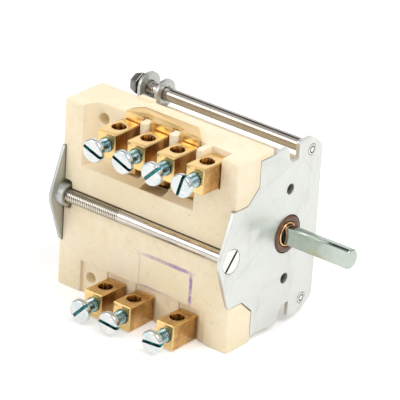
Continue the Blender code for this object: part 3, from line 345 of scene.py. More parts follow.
def mottle_group():
    """Two layers of cloudy noise as one value round 0.5."""
    found = bpy.data.node_groups.get("cloudy_mottle")
    if found:
        return found
    tree, nodes, inside, outside = new_group(
        "cloudy_mottle",
        [("Vector", "NodeSocketVector", None), ("Scale", "NodeSocketFloat", 60.0)],
        [("Value", "NodeSocketFloat")],
    )
    place, scale = inside.outputs["Vector"], inside.outputs["Scale"]
    broad = nodes.noise(place, scale, 4.0, 0.5)
    fine = nodes.noise(place, nodes.math("MULTIPLY", scale, 6.0), 5.0, 0.5)
    total = nodes.math("MULTIPLY_ADD", fine, 0.4, nodes.math("MULTIPLY", broad, 0.6))
    nodes.feed(outside.inputs["Value"], total)
    return tree


def start_material(name):
    """A material with its Principled shader and Object coordinates."""
    made = bpy.data.materials.new(name)
    made.use_nodes = True
    nodes = Nodes(made.node_tree)
    shader = made.node_tree.nodes["Principled BSDF"]
    place = nodes.add("ShaderNodeTexCoord").outputs["Object"]
    return made, nodes, shader, place


def use_scratches(nodes, place, scale, amount):
    inputs = {"Vector": place, "Scale": scale, "Amount": amount}
    return nodes.add("ShaderNodeGroup", inputs, node_tree=scratch_group()).outputs["Mask"]


def use_mottle(nodes, place, scale):
    inputs = {"Vector": place, "Scale": scale}
    return nodes.add("ShaderNodeGroup", inputs, node_tree=mottle_group()).outputs["Value"]


def shade(colour, factor):
    return tuple(min(1.0, channel * factor) for channel in colour) + (1.0,)


def ceramic_material(finishes):
    """Pressed unglazed ceramic: cloudy cream with grain, faint specks, stains and a bare stamp."""
    made, nodes, shader, place = start_material("pressed_ceramic")
    cream = finishes.ceramic_colour
    cloud = use_mottle(nodes, place, 70.0)
    warm = (cream[0] * 0.975, cream[1] * 0.945, cream[2] * 0.86, 1.0)
    colour = nodes.mix(nodes.ramp(cloud, 0.36, 0.66), warm, shade(cream, 1.02))
    specks = nodes.ramp(nodes.noise(place, 1150.0, 2.0), 0.68, 0.76)
    colour = nodes.mix(nodes.math("MULTIPLY", specks, 0.45), colour, SPECK_BROWN)
    stains = nodes.ramp(nodes.noise(place, 260.0, 6.0, 0.7), 0.54, 0.76)
    colour = nodes.mix(nodes.math("MULTIPLY", stains, 0.30), colour, STAIN_TAN)
    colour = nodes.mix(stamp_mask(nodes, place), colour, (*finishes.stamp_colour, 1.0))
    nodes.feed(shader.inputs["Base Color"], colour)
    nodes.feed(shader.inputs["Roughness"], nodes.math("MULTIPLY_ADD", cloud, 0.20, 0.46))
    pits = nodes.ramp(nodes.noise(place, 1100.0, 2.0), 0.64, 0.80)
    grain = nodes.noise(place, 2600.0, 3.0)
    height = nodes.math("SUBTRACT", nodes.math("MULTIPLY", grain, 0.35), pits)
    nodes.feed(shader.inputs["Normal"], nodes.bump(height, 0.30, 0.00007))
    return made


def stamp_mask(nodes, place):
    """A worn ink outline with nothing inside it: strong above and on the right."""
    parts = nodes.add("ShaderNodeSeparateXYZ", {"Vector": place})
    wobble = nodes.math("MULTIPLY", nodes.math("SUBTRACT", nodes.noise(place, 260.0), 0.5), 0.0005)
    across = nodes.math("ADD", parts.outputs["X"], wobble)
    up = nodes.math("ADD", parts.outputs["Z"], wobble)

    def near(value, line, half_width):
        """1 on a line and 0 outside its half width, with a soft edge."""
        away = nodes.math("ABSOLUTE", nodes.math("SUBTRACT", value, line))
        return nodes.math("SUBTRACT", 1.0, nodes.ramp(away, half_width * 0.55, half_width * 1.25))

    def between(value, low, high):
        """1 inside the two limits, with the same soft edge."""
        return near(value, (low + high) / 2, (high - low) / 2 / 0.95)

    wide = between(across, STAMP_LEFT, STAMP_RIGHT)
    high = between(up, STAMP_BOTTOM, STAMP_TOP)
    to_right = nodes.ramp(parts.outputs["X"], STAMP_LEFT, STAMP_RIGHT)
    to_left = nodes.math("SUBTRACT", 1.0, to_right)
    edges = (
        (up, STAMP_TOP, "top", wide, nodes.math("MULTIPLY_ADD", to_right, 0.45, 0.45)),
        (across, STAMP_RIGHT, "right", high, 0.85),
        (across, STAMP_LEFT, "left", high, 0.25),
        (up, STAMP_BOTTOM, "bottom", wide, nodes.math("MULTIPLY", to_left, 0.70)),
    )
    mask = 0.0
    for value, line, side, reach, strength in edges:
        drawn = nodes.math("MULTIPLY", near(value, line, STAMP_LINES[side]), reach)
        mask = nodes.math("MAXIMUM", mask, nodes.math("MULTIPLY", drawn, strength))
    ink = nodes.ramp(nodes.noise(place, 900.0, 4.0, 0.7), 0.30, 0.56)
    front = nodes.math("LESS_THAN", parts.outputs["Y"], STAMPED_FACE)
    worn = nodes.math("MULTIPLY", nodes.math("MULTIPLY_ADD", ink, 0.7, 0.3), front)
    return nodes.math("MULTIPLY", mask, worn)


def sheet_material(finishes, name, brightness):
    """Galvanised sheet: cloudy pale grey with smudges, small dirt marks and light scratches."""
    made, nodes, shader, place = start_material(name)
    # A brightness below 1 darkens the whole sheet as painted shade.
    zinc = tuple(channel * brightness for channel in finishes.plate_colour)
    cloud = use_mottle(nodes, place, 120.0)
    colour = nodes.mix(cloud, shade(zinc, 0.88), shade(zinc, 1.08))
    wiped = nodes.noise(nodes.stretched(place, (1.0, 1.0, 0.45)), 190.0, 5.0, 0.65)
    smudge = nodes.ramp(wiped, 0.52, 0.74)
    colour = nodes.mix(nodes.math("MULTIPLY", smudge, 0.34), colour, SMUDGE_GREY)
    scratches = use_scratches(nodes, place, 1100.0, 0.22)
    colour = nodes.mix(nodes.math("MULTIPLY", scratches, 0.9), colour, shade(zinc, 0.66))
    dirt = nodes.ramp(nodes.noise(place, 640.0, 6.0, 0.75), 0.62, 0.78)
    colour = nodes.mix(nodes.math("MULTIPLY", dirt, 0.55), colour, DIRT_BROWN)
    nodes.feed(shader.inputs["Base Color"], colour)
    shader.inputs["Metallic"].default_value = 0.85
    nodes.feed(shader.inputs["Roughness"], nodes.math("MULTIPLY_ADD", cloud, 0.24, 0.26))
    waves = nodes.math("MULTIPLY", cloud, 0.6)
    height = nodes.math("SUBTRACT", waves, nodes.math("MULTIPLY", scratches, 0.5))
    nodes.feed(shader.inputs["Normal"], nodes.bump(height, 0.22, 0.00003))
    return made


def drawn_metal(name, colour, low, high, along, scale, lines, marks=0.0):
    """Metal between two roughnesses, with fine lines where along squeezes the noise.

    The scale is the noise's, lines is the strength of its bump and marks that of the dark streaks,
    painted along the metal as reflections.
    """
    made, nodes, shader, place = start_material(name)
    streaks = nodes.noise(nodes.stretched(place, along), scale, 3.0)
    cloud = use_mottle(nodes, place, 160.0)
    tone = nodes.mix(nodes.ramp(cloud, 0.35, 0.65), shade(colour, 0.90), shade(colour, 1.05))
    # Dark streaks along the noise's lines, painted as reflections.
    if marks:
        dark = nodes.math("MULTIPLY", nodes.ramp(streaks, 0.50, 0.62), marks)
        tone = nodes.mix(dark, tone, shade(colour, 0.35))
    nodes.feed(shader.inputs["Base Color"], tone)
    shader.inputs["Metallic"].default_value = 1.0
    spread = nodes.math("MULTIPLY", nodes.math("ADD", streaks, cloud), (high - low) * 0.5)
    nodes.feed(shader.inputs["Roughness"], nodes.math("ADD", spread, low))
    nodes.feed(shader.inputs["Normal"], nodes.bump(streaks, lines, 0.00002))
    return made


def zinc_material(finishes):
    """Blue passivated zinc of the heads: silver with patches of blue and of warm grey."""
    made, nodes, shader, place = start_material("blue_zinc")
    cloud = use_mottle(nodes, place, 240.0)
    other = nodes.noise(place, 420.0, 3.0)
    colour = nodes.mix(nodes.ramp(cloud, 0.47, 0.66), shade(finishes.zinc_colour, 1.0), ZINC_BLUE)
    colour = nodes.mix(nodes.ramp(other, 0.56, 0.74), colour, ZINC_WARM)
    nodes.feed(shader.inputs["Base Color"], colour)
    shader.inputs["Metallic"].default_value = 1.0
    nodes.feed(shader.inputs["Roughness"], nodes.math("MULTIPLY_ADD", cloud, 0.20, 0.14))
    nodes.feed(shader.inputs["Normal"], nodes.bump(nodes.noise(place, 1800.0, 3.0), 0.25, 0.00002))
    return made


def teal_material(finishes):
    """The screws' thread crests: blue-teal zinc with paler patches painted on as highlight."""
    made, nodes, shader, place = start_material("teal_zinc")
    cloud = use_mottle(nodes, place, 420.0)
    blue = finishes.thread_colour
    # Paler patches painted on the crests as highlight.
    pale = (*(min(1.0, channel * gain) for channel, gain in zip(blue, (2.9, 2.0, 1.85))), 1.0)
    tone = nodes.mix(nodes.ramp(cloud, 0.42, 0.64), (*blue, 1.0), pale)
    nodes.feed(shader.inputs["Base Color"], tone)
    shader.inputs["Metallic"].default_value = 1.0
    nodes.feed(shader.inputs["Roughness"], nodes.math("MULTIPLY_ADD", cloud, 0.16, 0.10))
    return made


def shaded_teal():
    """Slots and thread roots of the screws, painted dark teal as shade in these hollows."""
    made, nodes, shader, place = start_material("shaded_teal_zinc")
    cloud = nodes.ramp(use_mottle(nodes, place, 500.0), 0.40, 0.62)
    nodes.feed(shader.inputs["Base Color"], nodes.mix(cloud, *SHADE_TEAL))
    shader.inputs["Metallic"].default_value = 1.0
    shader.inputs["Roughness"].default_value = 0.30
    return made


def block_material(finishes):
    """Brass bar: brown on the long sides, partly drawn skin and partly painted darker reflection,
    and on the lower row's tops as painted darker reflection; bright cuts elsewhere.
    """
    made, nodes, shader, place = start_material("terminal_brass")
    facing = nodes.add("ShaderNodeNewGeometry").outputs["Normal"]
    normal = nodes.add("ShaderNodeSeparateXYZ", {"Vector": facing})
    sideways = nodes.math("ABSOLUTE", normal.outputs["X"])
    upward = nodes.ramp(normal.outputs["Z"], 0.55, 0.92)
    where = nodes.add("ShaderNodeSeparateXYZ", {"Vector": place})
    # The lower row's tops are painted brown as a darker reflection.
    low_row = nodes.math("LESS_THAN", where.outputs["Z"], 0.0)
    upward = nodes.math("MULTIPLY", nodes.math("MULTIPLY", upward, low_row), 0.7)
    # Long sides: partly drawn skin, partly painted darker reflection.
    skin_and_shade = nodes.math("MAXIMUM", nodes.ramp(sideways, 0.55, 0.92), upward)
    cloud = use_mottle(nodes, place, 300.0)
    cuts = nodes.noise(nodes.stretched(place, (0.06, 1.0, 1.0)), 2400.0, 2.0)
    cut, drawn = finishes.brass_colour, finishes.brass_skin
    bright = nodes.mix(cloud, shade(cut, 0.84), shade(cut, 1.12))
    brown = nodes.mix(nodes.ramp(cloud, 0.35, 0.68), shade(drawn, 0.75), shade(drawn, 1.45))
    nodes.feed(shader.inputs["Base Color"], nodes.mix(skin_and_shade, bright, brown))
    shader.inputs["Metallic"].default_value = 1.0
    rough = nodes.math("MULTIPLY_ADD", cloud, 0.18, 0.15)
    nodes.feed(shader.inputs["Roughness"], nodes.math("MULTIPLY_ADD", skin_and_shade, 0.08, rough))
    nodes.feed(shader.inputs["Normal"], nodes.bump(cuts, 0.25, 0.00002))
    return made


def bore_material(finishes):
    """The drilled wire holes: copper brown with bright chatter lines."""
    made, nodes, shader, place = start_material("drilled_brass")
    lines = nodes.noise(nodes.stretched(place, (1.0, 1.0, 0.12)), 1500.0, 2.0)
    worn = nodes.ramp(lines, 0.40, 0.60)
    colour = nodes.mix(worn, BORE_BROWN, shade(finishes.brass_colour, 1.1))
    nodes.feed(shader.inputs["Base Color"], colour)
    shader.inputs["Metallic"].default_value = 1.0
    shader.inputs["Roughness"].default_value = 0.24
    nodes.feed(shader.inputs["Normal"], nodes.bump(lines, 0.6, 0.00008))
    return made


def matt_material(name, colour, roughness, scale):
    """Pressed fibre or moulded resin: cloudy colour with a fine grain."""
    made, nodes, shader, place = start_material(name)
    cloud = use_mottle(nodes, place, scale)
    tone = nodes.mix(nodes.ramp(cloud, 0.35, 0.66), shade(colour, 0.72), shade(colour, 1.30))
    nodes.feed(shader.inputs["Base Color"], tone)
    nodes.feed(shader.inputs["Roughness"], nodes.math("MULTIPLY_ADD", cloud, 0.2, roughness - 0.1))
    grain = nodes.noise(place, scale * 12, 3.0)
    nodes.feed(shader.inputs["Normal"], nodes.bump(grain, 0.4, 0.00005))
    return made


def rounded_copy(node, material, body, slot, width, bore=None):
    """The node's own shape with softened edges; bore is a hole's X, Y, radius and lining."""
    shape = bmesh.new()
    shape.from_mesh(NODES[node].data)
    bmesh.ops.remove_doubles(shape, verts=shape.verts, dist=CAD_MERGE)
    bmesh.ops.dissolve_degenerate(shape, edges=shape.edges, dist=CAD_MERGE)
    soften(shape, width, CAD_EDGE_ANGLE, CAD_FLAT_ANGLE)
    linings = []
    if bore:
        along, across, radius, lining = bore
        linings.append(lining)
        for face in shape.faces:
            face.material_index = int(all(
                abs(math.hypot(vertex.co.x - along, vertex.co.y - across) - radius) < width * 0.6
                for vertex in face.verts
            ))
    return show(node + "_finish", shape, material, body, slot, [node], *linings)


def show(name, shape, material, body, slot, replaced, *more):
    """Makes a piece of a bmesh, which rides on a body and stands for CAD nodes.

    The finishes in more take the material indices from 1 up.
    """
    mesh = bpy.data.meshes.new(name)
    shape.to_mesh(mesh)
    shape.free()
    mesh.shade_smooth()
    mesh.set_sharp_from_angle(angle=math.radians(SMOOTH_ANGLE))
    for finish in (material, *more):
        mesh.materials.append(finish)
    piece = bpy.data.objects.new(name, mesh)
    bpy.context.scene.collection.objects.link(piece)
    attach(piece, body)
    if replaced:
        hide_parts(*replaced)
    return piece


def lathe(profile, sides=ROUND_SIDES):
    """Spins (along, radius) points round the X axis into a bmesh."""
    shape = bmesh.new()
    points = [shape.verts.new((along, 0.0, radius)) for along, radius in profile]
    for pair in zip(points, points[1:]):
        shape.edges.new(pair)
    if profile[0][1] > 0:
        shape.edges.new((points[-1], points[0]))
    bmesh.ops.spin(
        shape, geom=shape.verts[:] + shape.edges[:], cent=(0, 0, 0), axis=AXIS_X, angle=2 * math.pi,
        steps=sides, use_merge=True, use_duplicate=False,
    )
    bmesh.ops.remove_doubles(shape, verts=shape.verts, dist=1e-7)
    bmesh.ops.recalc_face_normals(shape, faces=shape.faces)
    return shape


def arc(along, out, rise, spread, degrees, steps):
    """Profile points on an arc that starts at its widest and rises along the axis."""
    turns = (math.radians(degrees * step / steps) for step in range(steps + 1))
    return [(along + rise * math.sin(turn), out + spread * math.cos(turn)) for turn in turns]


def reach_of(vertex):
    """A vertex's distance from the X axis."""
    return math.hypot(vertex.co.y, vertex.co.z)


def stretch_points(low, high, radius, step):
    """Evenly spaced profile points from low to high at one radius."""
    count = max(1, round((high - low) / step))
    return [(low + (high - low) * index / count, radius) for index in range(count + 1)]


def cut_thread(shape, low, high, radius):
    """Presses a helix into the vertices that lie at this radius between low and high."""
    flank = THREAD_ROOT - THREAD_CREST
    for vertex in shape.verts:
        if abs(reach_of(vertex) - radius) > 1e-5 or not low <= vertex.co.x <= high:
            continue
        turn = math.atan2(vertex.co.z, vertex.co.y) / (2 * math.pi)
        phase = (vertex.co.x / THREAD_PITCH - turn) % 1.0
        groove = min(1.0, max(0.0, (abs(2 * phase - 1) - THREAD_CREST) / flank))
        fade = min(1.0, (vertex.co.x - low) / THREAD_PITCH, (high - vertex.co.x) / THREAD_PITCH)
        share = 1 - THREAD_DEPTH * groove * max(0.0, fade) / radius
        vertex.co.y *= share
        vertex.co.z *= share


def subtract(shape, tools):
    """Cuts the tool meshes from a bmesh with exact Booleans and returns a new bmesh."""
    mesh = bpy.data.meshes.new("blank")
    shape.to_mesh(mesh)
    shape.free()
    blank = bpy.data.objects.new("blank", mesh)
    bpy.context.scene.collection.objects.link(blank)
    cutters = []
    for tool in tools:
        tool_mesh = bpy.data.meshes.new("tool")
        tool.to_mesh(tool_mesh)
        tool.free()
        cutter = bpy.data.objects.new("tool", tool_mesh)
        bpy.context.scene.collection.objects.link(cutter)
        step = blank.modifiers.new("cut", "BOOLEAN")
        step.operation = "DIFFERENCE"
        step.solver = "EXACT"
        step.object = cutter
        cutters.append(cutter)
    bpy.context.view_layer.update()
    graph = bpy.context.evaluated_depsgraph_get()
    result = bmesh.new()
    result.from_mesh(blank.evaluated_get(graph).to_mesh())
    for spent in [blank, *cutters]:
        bpy.data.objects.remove(spent)
    return result


def block(low, high):
    """A cuboid between two corners, as a bmesh."""
    shape = bmesh.new()
    size = Vector(high) - Vector(low)
    middle = (Vector(high) + Vector(low)) / 2
    matrix = Matrix.Translation(middle) @ Matrix.Diagonal((*size, 1.0))
    bmesh.ops.create_cube(shape, size=1.0, matrix=matrix)
    return shape


def soften(shape, width, angle, flat=0.3):
    """Merges faces that are flat to each other and bevels the edges sharper than an angle."""
    bmesh.ops.remove_doubles(shape, verts=shape.verts, dist=2e-6)
    bmesh.ops.dissolve_limit(
        shape, angle_limit=math.radians(flat), verts=shape.verts, edges=shape.edges,
        use_dissolve_boundaries=False, delimit=set(),
    )
    limit = math.radians(angle)
    sharp = [e for e in shape.edges if len(e.link_faces) == 2 and e.calc_face_angle(0.0) > limit]
    bmesh.ops.bevel(
        shape, geom=sharp, offset=width, offset_type="OFFSET", segments=2, profile=0.5,
        affect="EDGES", clamp_overlap=True, material=-1,
    )
    return shape


def slotted_head(profile, slot, top, slot_index):
    """A turned head on the X axis; slot is the width, depth and angle of the cut across its top."""
    width, depth, angle = slot
    reach = HEAD_RADIUS * 1.5
    bar = block((top - depth, -reach, -width / 2), (top + depth * 3, reach, width / 2))
    turn = math.radians(angle)
    bmesh.ops.rotate(bar, verts=bar.verts, cent=(0, 0, 0), matrix=Matrix.Rotation(turn, 3, "X"))
    head = soften(subtract(lathe(profile, 56), [bar]), SLOT_NICK, 50.0)
    # Faces in the slot take slot_index, whose material is painted dark as shade in the slot.
    for face in head.faces:
        aside = [abs(v.co.z * math.cos(turn) - v.co.y * math.sin(turn)) for v in face.verts]
        sunk = min(v.co.x for v in face.verts) < top - 2e-5
        face.material_index = slot_index if sunk and max(aside) < width / 2 + 1e-5 else 0
    return head


def cheese_profile(radius, height, rounding):
    """A flat top with a wide rounding down to the rim."""
    return [
        (0.0, 0.0), (0.0, radius - HEAD_CHAMFER), (HEAD_CHAMFER, radius),
        *arc(height - rounding, radius - rounding, rounding, rounding, 90, 6), (height, 0.0),
    ]


def threaded_shank(low, high, radius, thread_high, crest=0, root=1):
    """A round bar on the X axis, threaded from its low end; crest and root are material indices,
    the root's material being painted darker as shade in the groove.
    """
    start = low + SHANK_CHAMFER
    profile = [(low, 0.0), (low, radius - SHANK_CHAMFER), (start, radius)]
    profile += stretch_points(start, thread_high, radius, THREAD_PITCH / THREAD_STEPS)[1:]
    if thread_high < high:
        profile.append((high, radius))
    profile.append((high, 0.0))
    shape = lathe(profile, 36)
    cut_thread(shape, start, thread_high, radius)
    # Faces deep in the groove take the root's darker material as painted shade.
    for face in shape.faces:
        depth = radius - sum(map(reach_of, face.verts)) / len(face.verts)
        deep = THREAD_DEPTH * ROOT_SHARE < depth < THREAD_DEPTH * 1.05
        face.material_index = root if deep and abs(face.normal.x) < 0.95 else crest
    return shape


def merge(first, second):
    """Adds a second bmesh to the first."""
    mesh = bpy.data.meshes.new("merge")
    second.to_mesh(mesh)
    second.free()
    first.from_mesh(mesh)
    bpy.data.meshes.remove(mesh)
    return first


def repaint(shape, old, new):
    """Moves faces from one material index to another."""
    for face in shape.faces:
        if face.material_index == old:
            face.material_index = new
    return shape


def set_place(shape, matrix):
    bmesh.ops.transform(shape, matrix=matrix, verts=shape.verts)
    return shape


def finishes_of(context):
    return context.scene.switch_finishes


def kept_material(name, make):
    """Makes a material once and finds it after that."""
    return bpy.data.materials.get(name) or make()


def kept_metal(name, colour, *finish):
    """Drawn metal that more than one operator uses."""
    return kept_material(name, lambda: drawn_metal(name, colour, *finish))


def bright_steel(context):
    colour = finishes_of(context).bright_colour
    return kept_metal("bright_drawn_steel", colour, 0.10, 0.26, (0.03, 1.0, 1.0), 1500.0, 0.30)


def painted_streak_steel():
    """Bright plating of the tie bolt, with dark streaks along it painted as reflections."""
    along = (0.02, 1.0, 1.0)
    return kept_metal("plating_with_painted_streaks", TIE_STEEL, 0.08, 0.24, along, 1100.0, 0.35, 0.55)


def plated_steel():
    """Pale plating of the tie bolt's head and the riveted ends."""
    return kept_metal("plated_steel", PLATED_STEEL, 0.22, 0.40, (1.0, 0.2, 1.0), 1400.0, 0.3)


def shaft_steel():
    return kept_metal("milled_shaft_steel", SHAFT_STEEL, 0.10, 0.22, (0.03, 1.0, 1.0), 1500.0, 0.25)


def dark_steel():
    # Blackened steel of the nuts, cone washers, riveting rings and detent wheel, also put on thread
    # roots, the tie bolt's slot and the bush's bore as painted shade.
    return kept_metal("blackened_steel_and_painted_shade", DARK_STEEL, 0.26, 0.50, (1.0, 1.0, 1.0), 900.0, 0.5)


def bronze_material():
    return kept_metal("rolled_bronze", BRONZE, 0.22, 0.42, (1.0, 1.0, 0.05), 1500.0, 0.3)


def strip_brass(context):
    colour = finishes_of(context).brass_colour
    return kept_metal("rolled_brass", colour, 0.20, 0.40, (0.05, 1.0, 1.0), 1300.0, 0.35)


def brown_fibre():
    name = "pressed_brown_fibre"
    return kept_material(name, lambda: matt_material(name, FIBRE_BROWN, 0.24, 380.0))


class SWITCH_OT_ceramic(bpy.types.Operator):
    """Finish the pressed ceramic housing"""

    bl_idname = "switch.ceramic"
    bl_label = "Ceramic housing"

    def execute(self, context):
        finishes = finishes_of(context)
        ceramic = ceramic_material(finishes)
        rounded_copy("housing", ceramic, "switch_body", "ceramic", finishes.edge_radius)
        return {"FINISHED"}


class SWITCH_OT_plates(bpy.types.Operator):
    """Finish the mounting plate and the rear clamp plate"""

    bl_idname = "switch.plates"
    bl_label = "Steel plates"

    def execute(self, context):
        finishes = finishes_of(context)
        front = sheet_material(finishes, "galvanised_sheet", FRONT_SHEET)
        # The rear plate and the front washers take the darker sheet, painted as shade.
        rear = sheet_material(finishes, "shade_darkened_galvanised_sheet", SHADED_REAR_SHEET)
        for node, sheet in (
            ("mounting_plate", front), ("rear_clamp_plate", rear),
            ("upper_front_washer", rear), ("lower_front_washer", rear),
        ):
            rounded_copy(node, sheet, "switch_body", "galvanised_steel", finishes.sheet_edge)
        return {"FINISHED"}


class SWITCH_OT_rods(bpy.types.Operator):
    """Turn the two corner rods with threaded tails, their cone washers and nuts"""

    bl_idname = "switch.rods"
    bl_label = "Corner rods and nuts"

    def execute(self, context):
        bright = bright_steel(context)
        dark = dark_steel()
        for label, side in (("upper", 1), ("lower", -1)):
            low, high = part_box(f"{label}_corner_rod")
            centre = Matrix.Translation((0.0, ROD_Y, side * ROD_Z))
            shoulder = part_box("mounting_plate")[0].x + ROD_SHOULDER
            bar = threaded_shank(low.x, shoulder, ROD_RADIUS, low.x + ROD_THREAD_LENGTH)
            bar = set_place(merge(bar, self.tenon(shoulder, high.x)), centre)
            show(f"{label}_rod_bar", bar, bright, "switch_body", "bright_steel",
                 [f"{label}_corner_rod"], dark, plated_steel())
            self.cone(label, centre, dark)
            self.nut(label, side, dark)
        return {"FINISHED"}

    def tenon(self, low, high):
        """The riveted end, with the dark ring that the riveting tool leaves."""
        outer, inner = TENON_RING
        shape = lathe([
            (low, 0.0), (low, TENON_RADIUS), (high - 0.0001, TENON_RADIUS),
            (high, TENON_RADIUS - NICK), (high - 0.00002, outer),
            (high - 0.00018, (outer + inner) / 2), (high - 0.00004, inner), (high - 0.00002, 0.0),
        ])
        for face in shape.faces:
            reach = sum(map(reach_of, face.verts)) / len(face.verts)
            proud = face.calc_center_median().x > low + 0.0002
            face.material_index = 1 if proud and inner < reach < outer else 2
        return shape

    def nut(self, label, side, dark):
        """The nut narrows to the rear."""
        low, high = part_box(f"{label}_rod_nut")
        shape = bmesh.new()
        shape.from_mesh(NODES[f"{label}_rod_nut"].data)
        bmesh.ops.remove_doubles(shape, verts=shape.verts, dist=CAD_MERGE)
        axis = Vector((0.0, ROD_Y, side * ROD_Z))
        for vertex in shape.verts:
            away = vertex.co - axis
            if math.hypot(away.y, away.z) > NUT_BORE_REACH:
                scale = 1 - NUT_TAPER * (high.x - vertex.co.x) / (high.x - low.x)
                vertex.co.y = axis.y + away.y * scale
                vertex.co.z = axis.z + away.z * scale
        soften(shape, NICK, 25.0)
        show(f"{label}_rod_nut_finish", shape, dark, "switch_body", "dark_steel",
             [f"{label}_rod_nut"])

    def cone(self, label, centre, dark):
        """A sprung cone washer with fine teeth on its slope."""
        low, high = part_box(f"{label}_cone_washer")
        radius = (high.z - low.z) / 2
        profile = [
            (high.x, CONE_BORE), (high.x, radius - 0.0001), (high.x - 0.0001, radius),
            (high.x - 0.00035, radius), (high.x - 0.0005, radius - 0.0002),
            (low.x + 0.0001, CONE_TOP_RADIUS + 0.0001), (low.x, CONE_TOP_RADIUS),
            (low.x, CONE_BORE),
        ]
        shape = lathe(profile, 72)
        for vertex in shape.verts:
            on_slope = CONE_TOP_RADIUS - 0.0001 < reach_of(vertex) < radius - 0.0001
            if on_slope and vertex.co.x < high.x - 0.0002:
                turn = math.atan2(vertex.co.z, vertex.co.y)
                share = 1 - CONE_RIDGE_SHARE * max(0.0, math.cos(CONE_RIDGES * turn))
                vertex.co.y *= share
                vertex.co.z *= share
        show(f"{label}_cone", set_place(shape, centre), dark, "switch_body", "dark_steel",
             [f"{label}_cone_washer"])


class SWITCH_OT_tie_bolt(bpy.types.Operator):
    """Turn the slotted bolt along the terminal face, threaded for its rear third"""

    bl_idname = "switch.tie_bolt"
    bl_label = "Front tie bolt"

    def execute(self, context):
        low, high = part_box("front_tie_bolt")
        radius = (high.y - low.y) / 2
        shank = threaded_shank(low.x, -TIE_SINK_DEPTH, ROD_RADIUS, low.x + TIE_THREAD_LENGTH)
        head = slotted_head([
            (-TIE_SINK_DEPTH, 0.0), (-TIE_SINK_DEPTH, ROD_RADIUS), (-TIE_HEAD_RIM, radius),
            (-0.00010, radius), (-0.00003, radius - 0.00006), (high.x, radius - 0.0002),
            (high.x, 0.0),
        ], TIE_SLOT, high.x, 1)
        # The slot keeps the dark material, painted as shade; the rest of the head is plated.
        repaint(head, 0, 2)
        shape = set_place(merge(shank, head), Matrix.Translation((0.0, TIE_BOLT_Y, 0.0)))
        show("tie_bolt", shape, painted_streak_steel(), "switch_body", "zinc_steel", ["front_tie_bolt"],
             dark_steel(), plated_steel())
        return {"FINISHED"}


class SWITCH_OT_terminal_blocks(bpy.types.Operator):
    """Finish the seven brass terminal blocks"""

    bl_idname = "switch.terminal_blocks"
    bl_label = "Terminal blocks"

    def execute(self, context):
        finishes = finishes_of(context)
        brass = block_material(finishes)
        lining = bore_material(finishes)
        for number in range(1, 8):
            low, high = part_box(f"terminal_block_{number}")
            bore = ((low.x + high.x) / 2, low.y + BLOCK_DEPTH / 2, WIRE_HOLE_RADIUS, lining)
            rounded_copy(f"terminal_block_{number}", brass, "switch_body", "brass",
                         finishes.sheet_edge, bore)
        return {"FINISHED"}


class SWITCH_OT_terminal_screws(bpy.types.Operator):
    """Turn the seven cheese-head terminal screws"""

    bl_idname = "switch.terminal_screws"
    bl_label = "Terminal screws"

    def execute(self, context):
        finishes = finishes_of(context)
        zinc, teal, deep = zinc_material(finishes), teal_material(finishes), shaded_teal()
        outwards = Matrix(((0, 1, 0), (-1, 0, 0), (0, 0, 1))).to_4x4()
        for number, angle in enumerate(SLOT_ANGLES, 1):
            low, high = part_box(f"terminal_screw_{number}")
            seat = Vector(((low.x + high.x) / 2, low.y + HEAD_HEIGHT, (low.z + high.z) / 2))
            profile = cheese_profile(HEAD_RADIUS, HEAD_HEIGHT, HEAD_ROUNDING)
            head = slotted_head(profile, (SLOT_WIDTH, SLOT_DEPTH, angle), HEAD_HEIGHT, 2)
            shank = threaded_shank(seat.y - high.y, 0.0, ROD_RADIUS, 0.0, 1, 2)
            shape = set_place(merge(shank, head), Matrix.Translation(seat) @ outwards)
            show(f"screw_{number}_turned", shape, zinc, f"screw_{number}", "zinc_steel",
                 [f"terminal_screw_{number}"], teal, deep)
        return {"FINISHED"}


class SWITCH_OT_contacts(bpy.types.Operator):
    """Finish the link strip, the fixed contact and the spring leaves"""

    bl_idname = "switch.contacts"
    bl_label = "Contact parts"

    def execute(self, context):
        brass = strip_brass(context)
        bronze = bronze_material()
        edge = finishes_of(context).sheet_edge
        rounded_copy("link_strip", brass, "switch_body", "brass", edge)
        dress_nodes(("fixed_contact",), brass)
        dress_nodes(("contact_leaf_1", "contact_leaf_2", "contact_leaf_3", "detent_spring"), bronze)
        return {"FINISHED"}


